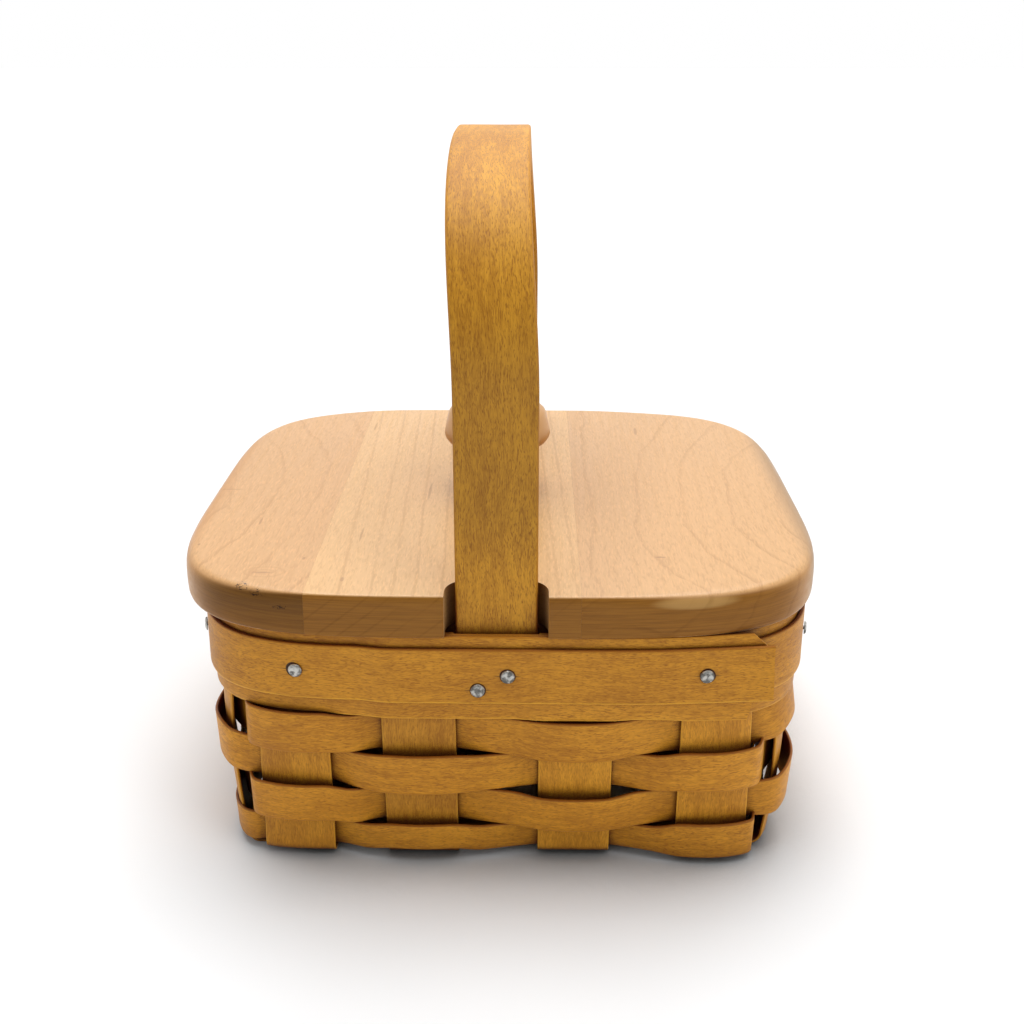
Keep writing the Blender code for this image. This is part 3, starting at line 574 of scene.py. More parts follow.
def make_rim():
    band_offset = UPRIGHT_THICKNESS / 2.0 + CLEARANCE + BAND_THICKNESS / 2.0
    trim_offset = band_offset + BAND_THICKNESS + CLEARANCE

    def band_cut(share):
        corner = max(share - 0.83, 0.0) / 0.17
        ragged = 0.3 * MM * ripple(share * 30.0, seed=4.0)
        return -5.6 * MM * min(share / 0.83, 1.0) + 5.0 * MM * corner + ragged

    def trim_cut(share):
        return 0.7 * MM * share + 0.32 * MM * ripple(share * 34.0, seed=9.0)

    band = lapped_strip("outer_band", BAND_FOOT, RIM_HEIGHT, band_offset, BAND_THICKNESS,
                        BAND_START, BAND_END, 15.0, band_cut, SETTLED_BAND)
    wood = splint_material("outer_band_wood", 15.0, BAND_TONE, (RIM_HEIGHT - BAND_FOOT) / 2.0, (1.25, 0.85))
    dress(band, "outer_rim_band", wood)
    trim = lapped_strip("trim_strip", TRIM_FOOT, TRIM_TOP, trim_offset, BAND_THICKNESS,
                        TRIM_START, TRIM_END, 16.0, trim_cut, (0.0, 0.0, 0.0, 0.0))
    wood = splint_material("trim_strip_wood", 16.0, TRIM_TONE, (TRIM_TOP - TRIM_FOOT) / 2.0, (1.45, 0.6),
                           tack_marks(trim, 16.0))
    dress(trim, "rim_trim_strip", wood)
    height = INNER_BAND_TOP - INNER_BAND_FOOT
    section = cross_section(height, INNER_BAND_THICKNESS, 0.3 * MM, 2, 5)
    inner = strip("inner_band", lambda place: inner_column(place, INNER_BAND_FOOT, INNER_BAND_TOP),
                  section, 1.0, 17.0)
    wood = splint_material("inner_band_wood", 17.0, BAND_TONE, height / 2.0, (0.8, 0.7))
    dress(inner, "inner_rim_band", wood)


# Tacks

def tack_nodes():
    return [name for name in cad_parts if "_tack_" in name]


def tack_marks(item, seed):
    """Where the tacks stand in the grain map of the trim."""
    count = len(item.data.vertices) // 38
    vertices = item.data.vertices
    line = [(vertices[9 * count + i].co + vertices[28 * count + i].co) / 2.0 for i in range(count)]
    walk = [0.0]
    for here, there in zip(line, line[1:]):
        walk.append(walk[-1] + (there - here).length)
    marks = []
    for name in tack_nodes():
        low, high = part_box(name)
        centre = (Vector(low) + Vector(high)) / 2.0
        reaches = [(point - centre).xy.length for point in line]
        nearest = min(max(reaches.index(min(reaches)), 1), count - 2)
        ahead = (line[nearest + 1] - line[nearest - 1]).normalized()
        place = walk[nearest] + (centre - line[nearest]).dot(ahead)
        marks.append((seed * 0.83 + place, centre.z - (TRIM_TOP + TRIM_FOOT) / 2.0))
    return marks


def make_tacks():
    """Hammered heads on plain shanks, each at its own tack in the frame."""
    for number, name in enumerate(sorted(tack_nodes())):
        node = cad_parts[name]
        low, high = (Vector(corner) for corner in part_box(name))
        centre = (low + high) / 2.0
        points = [node.matrix_world @ vertex.co for vertex in node.data.vertices]
        tip = min(points, key=lambda point: point.x ** 2 + point.y ** 2)
        crown = max(points, key=lambda point: (point - tip).length)
        rim = [point for point in points if (point - tip).length > 6.0 * MM]
        head = sum(rim, Vector()) / len(rim)
        outward = (head - tip).normalized()
        side = Vector((0.0, 0.0, 1.0)).cross(outward).normalized()
        frame_matrix = Matrix((side, outward.cross(side), outward)).transposed().to_4x4()
        frame_matrix.translation = tip
        length = max((point - tip).dot(outward) for point in points)
        underside = length - 0.8 * MM
        rings = [(0.12, 0.70), (0.4, 0.70), (0.7, 0.66), (0.9, 0.5), (0.99, 0.25), (1.0, 0.0), (0.28, 0.0)]
        shape = bmesh.new()
        sides = 28
        rows = []
        for ring, (radius, rise) in enumerate(rings):
            row = []
            for step in range(sides):
                angle = step / sides * math.tau
                uneven = 1.0 + 0.05 * ripple(math.cos(angle) * 1.3, math.sin(angle) * 1.3, seed=number + 2.0)
                reach = 2.15 * MM * radius * (uneven if ring < 6 else 1.0)
                x = reach * math.cos(angle)
                y = reach * math.sin(angle)
                dent = 0.14 * MM * ripple(x * 900.0, y * 900.0, seed=number + 31.0) if ring < 4 else 0.0
                row.append(shape.verts.new((x, y, underside + rise * MM + dent)))
            rows.append(row)
        for depth, radius in ((1.2 * MM, 0.6 * MM), (0.3 * MM, 0.25 * MM)):
            row = []
            for step in range(sides):
                angle = step / sides * math.tau
                row.append(shape.verts.new((radius * math.cos(angle), radius * math.sin(angle), depth)))
            rows.append(row)
        for first, last in zip(rows, rows[1:]):
            for step in range(sides):
                after = (step + 1) % sides
                shape.faces.new((first[step], last[step], last[after], first[after]))
        shape.faces.new(rows[0])
        shape.faces.new(rows[-1][::-1])
        shape.transform(frame_matrix)
        mesh = bpy.data.meshes.new(f"driven_{name}")
        shape.to_mesh(mesh)
        shape.free()
        mesh.shade_smooth()
        mesh.set_sharp_from_angle(angle=math.radians(40.0))
        item = bpy.data.objects.new(f"driven_{name}", mesh)
        bpy.context.scene.collection.objects.link(item)
        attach(item, "basket")
        dress(item, name, STEEL)


# Handle

def handle_line(steps):
    """Outer face of the handle in the plane x = 0, front leg, arch and back leg."""
    points = [(-HANDLE_HALF_SPAN, blend(HANDLE_FOOT, HANDLE_SPRING, step / 40.0)) for step in range(40)]
    for step in range(steps + 1):
        angle = math.pi * (1.0 - step / steps)
        across = math.cos(angle)
        up = math.sin(angle)
        radius = (abs(across) ** HANDLE_POWER + abs(up) ** HANDLE_POWER) ** (-1.0 / HANDLE_POWER)
        points.append((HANDLE_HALF_SPAN * radius * across, HANDLE_SPRING + HANDLE_RISE * radius * up))
    points += [(-y, z) for y, z in points[:40][::-1]]
    return points


def make_handle():
    outer = handle_line(130)
    centre = []
    for index, (place, height) in enumerate(outer):
        before = outer[max(index - 1, 0)]
        after = outer[min(index + 1, len(outer) - 1)]
        along = Vector((after[0] - before[0], after[1] - before[1])).normalized()
        inward = Vector((along.y, -along.x)) * HANDLE_THICKNESS / 2.0
        centre.append((place + inward.x, height + inward.y))
    section = cross_section(HANDLE_WIDTH, HANDLE_THICKNESS, 1.0 * MM, 4, 8)

    def column_at(place):
        return [Vector((place + HANDLE_LEAN * smooth_step((z - HANDLE_SPRING) / HANDLE_RISE), y, z))
                for y, z in centre]

    item = strip("bent_handle", column_at, section, -1.0, 21.0, swell=0.12 * MM)
    # worn=True paints shade on the handle's legs and a highlight on its crest, by height.
    wood = splint_material("bent_handle_wood", 21.0, HANDLE_TONE, HANDLE_WIDTH / 2.0, (0.85, 0.85), fleck=1.15,
                           inner_face_shade=0.0, worn=True)
    dress(item, "handle", wood)


# Lid

def lid_outline(inset, steps):
    """Outline of the lid, drawn in by an inset that is fuller at the corners and the sides."""
    points = []
    for step in range(steps):
        angle = step / steps * math.tau
        along = abs(math.cos(angle) / LID_HALF_WIDTH) ** LID_POWER
        up = abs(math.sin(angle) / LID_HALF_DEPTH) ** LID_POWER
        radius = (along + up) ** (-1.0 / LID_POWER)
        x = radius * math.cos(angle)
        y = radius * math.sin(angle)
        across = math.copysign(abs(x / LID_HALF_WIDTH) ** (LID_POWER - 1.0) / LID_HALF_WIDTH, x)
        forth = math.copysign(abs(y / LID_HALF_DEPTH) ** (LID_POWER - 1.0) / LID_HALF_DEPTH, y)
        size = math.hypot(across, forth)
        crisp = 30.0 * MM if x > 0.0 else 48.0 * MM
        here = inset * blend(0.38, 1.0, smooth_step((abs(x) - crisp) / (36.0 * MM)))
        points.append((x - here * across / size, y - here * forth / size))
    return points


LID_EDGE = ((1.5, -0.2), (0.8, -0.05), (0.35, 0.4), (0.12, 1.2), (0.03, 3.0), (0.0, 5.2), (0.05, 7.4),
            (0.2, 9.3), (0.55, 10.8), (1.1, 11.8), (1.8, 12.55), (2.7, 13.0), (3.8, 13.2), (5.0, 13.25))


def lid_blank():
    """The lid before its notches are cut, its edge turned over in a soft round."""
    steps = 288
    shape = bmesh.new()
    rings = []
    for inset, rise in LID_EDGE:
        outline = lid_outline(inset * MM, steps)
        rings.append([shape.verts.new((x, y, LID_FOOT + rise * MM)) for x, y in outline])
    for first, last in zip(rings, rings[1:]):
        for step in range(steps):
            after = (step + 1) % steps
            shape.faces.new((first[step], first[after], last[after], last[step]))
    shape.faces.new(rings[0][::-1])
    shape.faces.new(rings[-1])
    mesh = bpy.data.meshes.new("lid_blank")
    shape.to_mesh(mesh)
    shape.free()
    mesh.shade_smooth()
    return mesh


def helper(name, mesh):
    item = bpy.data.objects.new(name, mesh)
    bpy.context.scene.collection.objects.link(item)
    item.hide_render = True
    item.hide_viewport = True
    return item


def box_mesh(name, low, high):
    shape = bmesh.new()
    bmesh.ops.create_cube(shape, size=1.0)
    bmesh.ops.scale(shape, vec=[b - a for a, b in zip(low, high)], verts=shape.verts)
    bmesh.ops.translate(shape, vec=[(a + b) / 2.0 for a, b in zip(low, high)], verts=shape.verts)
    mesh = bpy.data.meshes.new(name)
    shape.to_mesh(mesh)
    shape.free()
    return mesh


def notch_mesh(side):
    """Cutter for one notch: straight sides and rounded inner corners."""
    outline = [(NOTCH_HALF, NOTCH_END + 30.0 * MM)]
    outline.append((-NOTCH_HALF, NOTCH_END + 30.0 * MM))
    for first, centre in ((180.0, -1.0), (270.0, 1.0)):
        for step in range(13):
            angle = math.radians(first + step / 12.0 * 90.0)
            x = centre * (NOTCH_HALF - NOTCH_CORNER) + NOTCH_CORNER * math.cos(angle)
            outline.append((x, NOTCH_END + NOTCH_CORNER + NOTCH_CORNER * math.sin(angle)))
    shape = bmesh.new()
    corners = [shape.verts.new((x * side, y * side, LID_FOOT - 10.0 * MM)) for x, y in outline]
    face = shape.faces.new(corners)
    grown = bmesh.ops.extrude_face_region(shape, geom=[face])["geom"]
    lifted = [part for part in grown if isinstance(part, bmesh.types.BMVert)]
    bmesh.ops.translate(shape, verts=lifted, vec=(0.0, 0.0, LID_THICKNESS + 20.0 * MM))
    bmesh.ops.recalc_face_normals(shape, faces=shape.faces)
    mesh = bpy.data.meshes.new("notch")
    shape.to_mesh(mesh)
    shape.free()
    return mesh


def make_lid():
    far = 150.0 * MM
    hair = 0.01 * MM
    left, right = LID_JOINTS
    spans = {"left": (-far, left - hair), "middle": (left + hair, right - hair), "right": (right + hair, far)}
    notches = [helper("front_notch", notch_mesh(-1.0)), helper("back_notch", notch_mesh(1.0))]
    blank = lid_blank()
    for name, (start, end) in spans.items():
        item = bpy.data.objects.new(f"board_{name}", blank.copy())
        bpy.context.scene.collection.objects.link(item)
        span = box_mesh(f"{name}_span", (start, -far, LID_FOOT - 5.0 * MM), (end, far, LID_FOOT + 30.0 * MM))
        cuts = [(helper(f"{name}_span", span), "INTERSECT")]
        cuts += [(notch, "DIFFERENCE") for notch in notches]
        for cutter, operation in cuts:
            modifier = item.modifiers.new(cutter.name, "BOOLEAN")
            modifier.operation = operation
            modifier.solver = "EXACT"
            modifier.object = cutter
        graph = bpy.context.evaluated_depsgraph_get()
        mesh = bpy.data.meshes.new_from_object(item.evaluated_get(graph))
        item.modifiers.clear()
        item.data = mesh
        mesh.set_sharp_from_angle(angle=math.radians(35.0))
        bpy.data.objects.remove(cuts[0][0], do_unlink=True)
        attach(item, "lid")
        dress(item, f"lid_board_{name}", board_material(name))
    for notch in notches:
        bpy.data.objects.remove(notch, do_unlink=True)


# Knob

KNOB_PROFILE = ((0.0, 31.0), (6.0, 30.9), (11.0, 30.6), (14.0, 30.1), (15.8, 29.4), (16.8, 28.5), (17.3, 27.4),
                (17.65, 25.8), (18.0, 24.0), (18.4, 22.0), (18.7, 20.5), (18.35, 19.2), (17.4, 17.9),
                (15.6, 16.8), (13.2, 16.05),
                (11.0, 15.5), (9.4, 14.6), (8.2, 13.2), (7.45, 11.4), (7.2, 9.6), (7.25, 7.4), (7.6, 5.2),
                (8.3, 3.2), (9.2, 1.5), (10.0, 0.5), (10.0, 0.0))


def make_knob():
    foot = LID_FOOT + LID_THICKNESS + CLEARANCE
    sides = 72
    shape = bmesh.new()
    rows = []
    for radius, height in KNOB_PROFILE[1:]:
        row = []
        for step in range(sides):
            angle = step / sides * math.tau
            x = KNOB_PLACE + radius * MM * math.cos(angle)
            row.append(shape.verts.new((x, radius * MM * math.sin(angle), foot + height * MM)))
        rows.append(row)
    for first, last in zip(rows, rows[1:]):
        for step in range(sides):
            after = (step + 1) % sides
            shape.faces.new((first[step], last[step], last[after], first[after]))
    shape.faces.new(rows[0])
    shape.faces.new(rows[-1][::-1])
    mesh = bpy.data.meshes.new("turned_knob")
    shape.to_mesh(mesh)
    shape.free()
    mesh.shade_smooth()
    mesh.set_sharp_from_angle(angle=math.radians(60.0))
    item = bpy.data.objects.new("turned_knob", mesh)
    bpy.context.scene.collection.objects.link(item)
    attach(item, "lid")
    dress(item, "lid_knob", board_material("knob"))


# Materials

class Nodes:
    """Short ways to add shader nodes to one material."""

    def __init__(self, name):
        self.material = bpy.data.materials.new(name)
        self.material.use_nodes = True
        self.tree = self.material.node_tree
        self.shader = self.tree.nodes["Principled BSDF"]

    def link(self, value, socket):
        if isinstance(value, bpy.types.NodeSocket):
            self.tree.links.new(value, socket)
        else:
            socket.default_value = value

    def math(self, operation, first, second=0.0, third=0.0, clamp=False):
        node = self.tree.nodes.new("ShaderNodeMath")
        node.operation = operation
        node.use_clamp = clamp
        for value, socket in zip((first, second, third), node.inputs):
            self.link(value, socket)
        return node.outputs[0]

    def vector(self, x=0.0, y=0.0, z=0.0):
        node = self.tree.nodes.new("ShaderNodeCombineXYZ")
        for value, socket in zip((x, y, z), node.inputs):
            self.link(value, socket)
        return node.outputs[0]

    def split(self, vector):
        node = self.tree.nodes.new("ShaderNodeSeparateXYZ")
        self.link(vector, node.inputs[0])
        return node.outputs

    def noise(self, vector, detail=2.0, rough=0.5, distortion=0.0):
        node = self.tree.nodes.new("ShaderNodeTexNoise")
        self.link(vector, node.inputs["Vector"])
        node.inputs["Scale"].default_value = 1.0
        node.inputs["Detail"].default_value = detail
        node.inputs["Roughness"].default_value = rough
        node.inputs["Distortion"].default_value = distortion
        return node.outputs["Fac"]

    def step(self, value, low, high):
        """0 below low, 1 above high, smooth between; also falling if low is above high."""
        node = self.tree.nodes.new("ShaderNodeMapRange")
        node.interpolation_type = "SMOOTHSTEP"
        self.link(value, node.inputs["Value"])
        if low < high:
            node.inputs["From Min"].default_value = low
            node.inputs["From Max"].default_value = high
            return node.outputs["Result"]
        node.inputs["From Min"].default_value = high
        node.inputs["From Max"].default_value = low
        node.inputs["To Min"].default_value = 1.0
        node.inputs["To Max"].default_value = 0.0
        return node.outputs["Result"]

    def mix(self, share, first, last):
        node = self.tree.nodes.new("ShaderNodeMix")
        node.data_type = "RGBA"
        self.link(share, node.inputs[0])
        self.link(first if isinstance(first, bpy.types.NodeSocket) else (*first, 1.0), node.inputs[6])
        self.link(last if isinstance(last, bpy.types.NodeSocket) else (*last, 1.0), node.inputs[7])
        return node.outputs[2]

    def scale(self, colour, factor):
        node = self.tree.nodes.new("ShaderNodeVectorMath")
        node.operation = "SCALE"
        self.link(colour, node.inputs[0])
        self.link(factor, node.inputs[3])
        return node.outputs[0]

    def recess_shade(self, distance, open_share, closed_share):
        """How far a place lies in a corner or gap, 0 to 1, as a mask for painting shade there."""
        node = self.tree.nodes.new("ShaderNodeAmbientOcclusion")
        node.samples = 3
        node.inputs["Distance"].default_value = distance
        return self.step(node.outputs["AO"], open_share, closed_share)

    def bump(self, height, strength, distance):
        node = self.tree.nodes.new("ShaderNodeBump")
        node.inputs["Strength"].default_value = strength
        node.inputs["Distance"].default_value = distance
        self.link(height, node.inputs["Height"])
        self.link(node.outputs["Normal"], self.shader.inputs["Normal"])


UPRIGHT_TONES = ((0.625, 0.268, 0.018), (0.585, 0.250, 0.016), (0.520, 0.222, 0.016), (0.650, 0.282, 0.019))
WEAVER_TONES = ((0.560, 0.234, 0.014), (0.590, 0.248, 0.015), (0.575, 0.240, 0.014), (0.560, 0.234, 0.014))
BAND_TONE = (0.570, 0.244, 0.016)
TRIM_TONE = (0.530, 0.222, 0.013)
HANDLE_TONE = (0.535, 0.240, 0.015)

def scaled(colour, factor):
    return tuple(min(channel * factor, 1.0) for channel in colour)


def splint_material(name, seed, tone, half_width, edges, marks=(), fleck=1.0, inner_face_shade=0.84, worn=False):
    """Oiled, honey-stained splint: long fibres and short dark flecks, edges partly of their own stain and partly
    painted light, painted shade in gaps and on inner faces, and with worn a painted shade band and crest highlight by
    height.
    """
    n = Nodes(name)
    uv = n.tree.nodes.new("ShaderNodeUVMap")
    uv.uv_map = "grain"
    u, v_raw, _ = n.split(uv.outputs[0])
    v = n.math("WRAP", v_raw, 0.1, -0.1)
    wander = n.noise(n.vector(n.math("MULTIPLY", u, 26.0), n.math("MULTIPLY", v, 55.0), seed), 2.0)
    bend = n.math("MULTIPLY", n.math("SUBTRACT", wander, 0.5), 0.006)
    across = n.math("ADD", v_raw, bend)

    def grain(along, over, shift, detail=2.0, rough=0.5):
        place = n.vector(n.math("MULTIPLY", u, along), n.math("MULTIPLY", across, over), seed * 3.7 + shift)
        return n.noise(place, detail, rough)

    fibre = grain(430.0, 2900.0, 0.0, 2.0, 0.6)
    streak = grain(95.0, 800.0, 5.0, 2.0)
    cloud = grain(26.0, 70.0, 9.0, 2.0)
    figure = grain(420.0, 260.0, 25.0, 1.0)
    speck = grain(720.0, 3600.0, 13.0, 1.0)
    crowd = grain(75.0, 190.0, 17.0, 1.0)
    dash = grain(300.0, 3300.0, 21.0, 0.0)
    light = n.math("ADD", n.math("MULTIPLY", fibre, 0.42), n.math("MULTIPLY", streak, 0.30))
    light = n.math("ADD", light, n.math("MULTIPLY", cloud, 0.34))
    light = n.math("ADD", light, n.math("MULTIPLY", figure, 0.12))
    light = n.step(light, 0.42, 0.76)
    dark_wood = (tone[0] * 0.76, tone[1] * 0.69, tone[2] * 0.60)
    light_wood = (tone[0] * 1.22, tone[1] * 1.28, tone[2] * 1.40)
    colour = n.mix(light, dark_wood, light_wood)
    brown = (tone[0] * 0.50, tone[1] * 0.38, tone[2] * 0.32)
    crowding = n.step(crowd, 0.30, 0.75)
    threshold = n.math("SUBTRACT", speck, n.math("MULTIPLY", n.math("SUBTRACT", 1.0, crowding), 0.04))
    flecks = n.math("MULTIPLY", n.step(threshold, 0.52, 0.68), 0.60 * fleck, clamp=True)
    colour = n.mix(flecks, colour, brown)
    dashes = n.math("MULTIPLY", n.step(dash, 0.66, 0.78), 0.45 * fleck, clamp=True)
    colour = n.mix(dashes, colour, brown)
    distance = n.math("ABSOLUTE", v)
    frayed = n.math("ADD", distance, n.math("MULTIPLY", n.math("SUBTRACT", streak, 0.5), 0.0005))
    # Edge tones are partly the raw edges' own stain and partly painted light: paler edges stand in for edges catching
    # light, darker upper edges for the shade under the part above.
    upper = n.step(v, -0.5 * MM, 0.5 * MM)
    low_edge, high_edge = (tuple(part * factor ** power for part, power in zip(tone, (1.0, 1.5, 2.0)))
                           for factor in edges)
    edge_stain_and_light_tone = n.mix(upper, low_edge, high_edge)
    edge = n.step(frayed, half_width - 0.70 * MM, half_width - 0.15 * MM)
    colour = n.mix(n.math("MULTIPLY", edge, 0.8), colour, edge_stain_and_light_tone)
    dark = 0.0
    for place, level in marks:
        along = n.math("ABSOLUTE", n.math("SUBTRACT", u, place))
        aside = n.math("ABSOLUTE", n.math("SUBTRACT", n.math("ADD", v_raw, n.math("MULTIPLY", bend, 0.10)), level))
        taper = n.math("SUBTRACT", 1.0, n.math("DIVIDE", along, 4.9 * MM), clamp=True)
        crack = n.step(n.math("SUBTRACT", n.math("MULTIPLY", taper, 0.26 * MM), aside), -0.04 * MM, 0.05 * MM)
        crack = n.math("MULTIPLY", crack, n.step(taper, 0.0, 0.25))
        span = n.math("SQRT", n.math("ADD", n.math("MULTIPLY", along, along), n.math("MULTIPLY", aside, aside)))
        # Painted shadow: a dark ring just outside each tack head stands in for the shadow at the rim of the head; the
        # cracks beside it are real.
        ring = n.step(span, 2.62 * MM, 2.25 * MM)
        dark = n.math("MAXIMUM", dark, n.math("MAXIMUM", n.math("MULTIPLY", crack, 0.8), ring))
    if marks:
        colour = n.mix(dark, colour, (0.035, 0.016, 0.006))
    # Painted shade: the splints' inner faces darkened to a tenth of their tone, standing in for the shade inside the
    # closed basket.
    if inner_face_shade:
        back = n.step(v_raw, 0.08, 0.12)
        colour = n.mix(n.math("MULTIPLY", back, inner_face_shade), colour, scaled(tone, 0.10))
    # Painted light on the handle by height: painted shade on the legs and lower arch, painted highlight along the
    # crest.
    if worn:
        coordinates = n.tree.nodes.new("ShaderNodeTexCoord")
        height = n.split(coordinates.outputs["Object"])[2]
        darker = n.math("MULTIPLY", n.step(height, 0.095, 0.125), n.step(height, 0.190, 0.160))
        shade = n.math("MULTIPLY_ADD", darker, -0.22, 1.0)
        shade = n.math("MULTIPLY_ADD", n.step(height, 0.194, 0.216), 0.26, shade)
        colour = n.scale(colour, shade)
    # Painted shade: colour darkened to deep red-brown in gaps and corners between the splints, where shade falls.
    gap_shade = n.recess_shade(8.0 * MM, 0.74, 0.26)
    colour = n.mix(n.math("MULTIPLY", gap_shade, 0.95), colour, (0.085, 0.008, 0.005))
    n.link(colour, n.shader.inputs["Base Color"])
    n.link(n.math("MULTIPLY_ADD", fibre, 0.20, 0.38), n.shader.inputs["Roughness"])
    n.shader.inputs["Specular IOR Level"].default_value = 0.25
    height = n.math("SUBTRACT", n.math("ADD", n.math("MULTIPLY", fibre, 0.7), n.math("MULTIPLY", streak, 0.5)), flecks)
    n.bump(height, 0.40, 0.12 * MM)
    return n.material


BOARD_TONES = {"left": (0.640, 0.356, 0.142), "middle": (0.700, 0.415, 0.170), "right": (0.622, 0.350, 0.139),
               "knob": (0.420, 0.165, 0.016)}
BOARD_LINES = (-50.3, -40.9, -34.4, -28.0, -19.8, -10.5, -2.0, 7.5, 15.0, 20.5)
BOARD_DASHES = {
    "left": ((-80.5, -36.4, 0.5, 4.0), (-60.9, -67.6, 0.6, 1.4), (-96.5, -56.7, 0.6, 0.9), (-97.0, -5.5, 5.0, 0.5),
             (-71.8, -78.6, 3.6, 0.7)),
    "middle": ((-45.2, -47.4, 0.45, 7.5), (-26.0, -6.5, 0.6, 10.5), (-54.0, 70.3, 0.5, 6.5),
               (-46.8, -83.4, 0.8, 2.0)),
    "right": ((52.3, 65.2, 0.8, 6.0), (50.9, -65.0, 2.2, 0.8)),
    "knob": (),
}
BOARD_FLAWS = ((-75.9, -85.6, 96.3, 2.9), (-70.4, -88.2, 95.6, 3.9), (-64.2, -92.8, 92.4, 2.6))


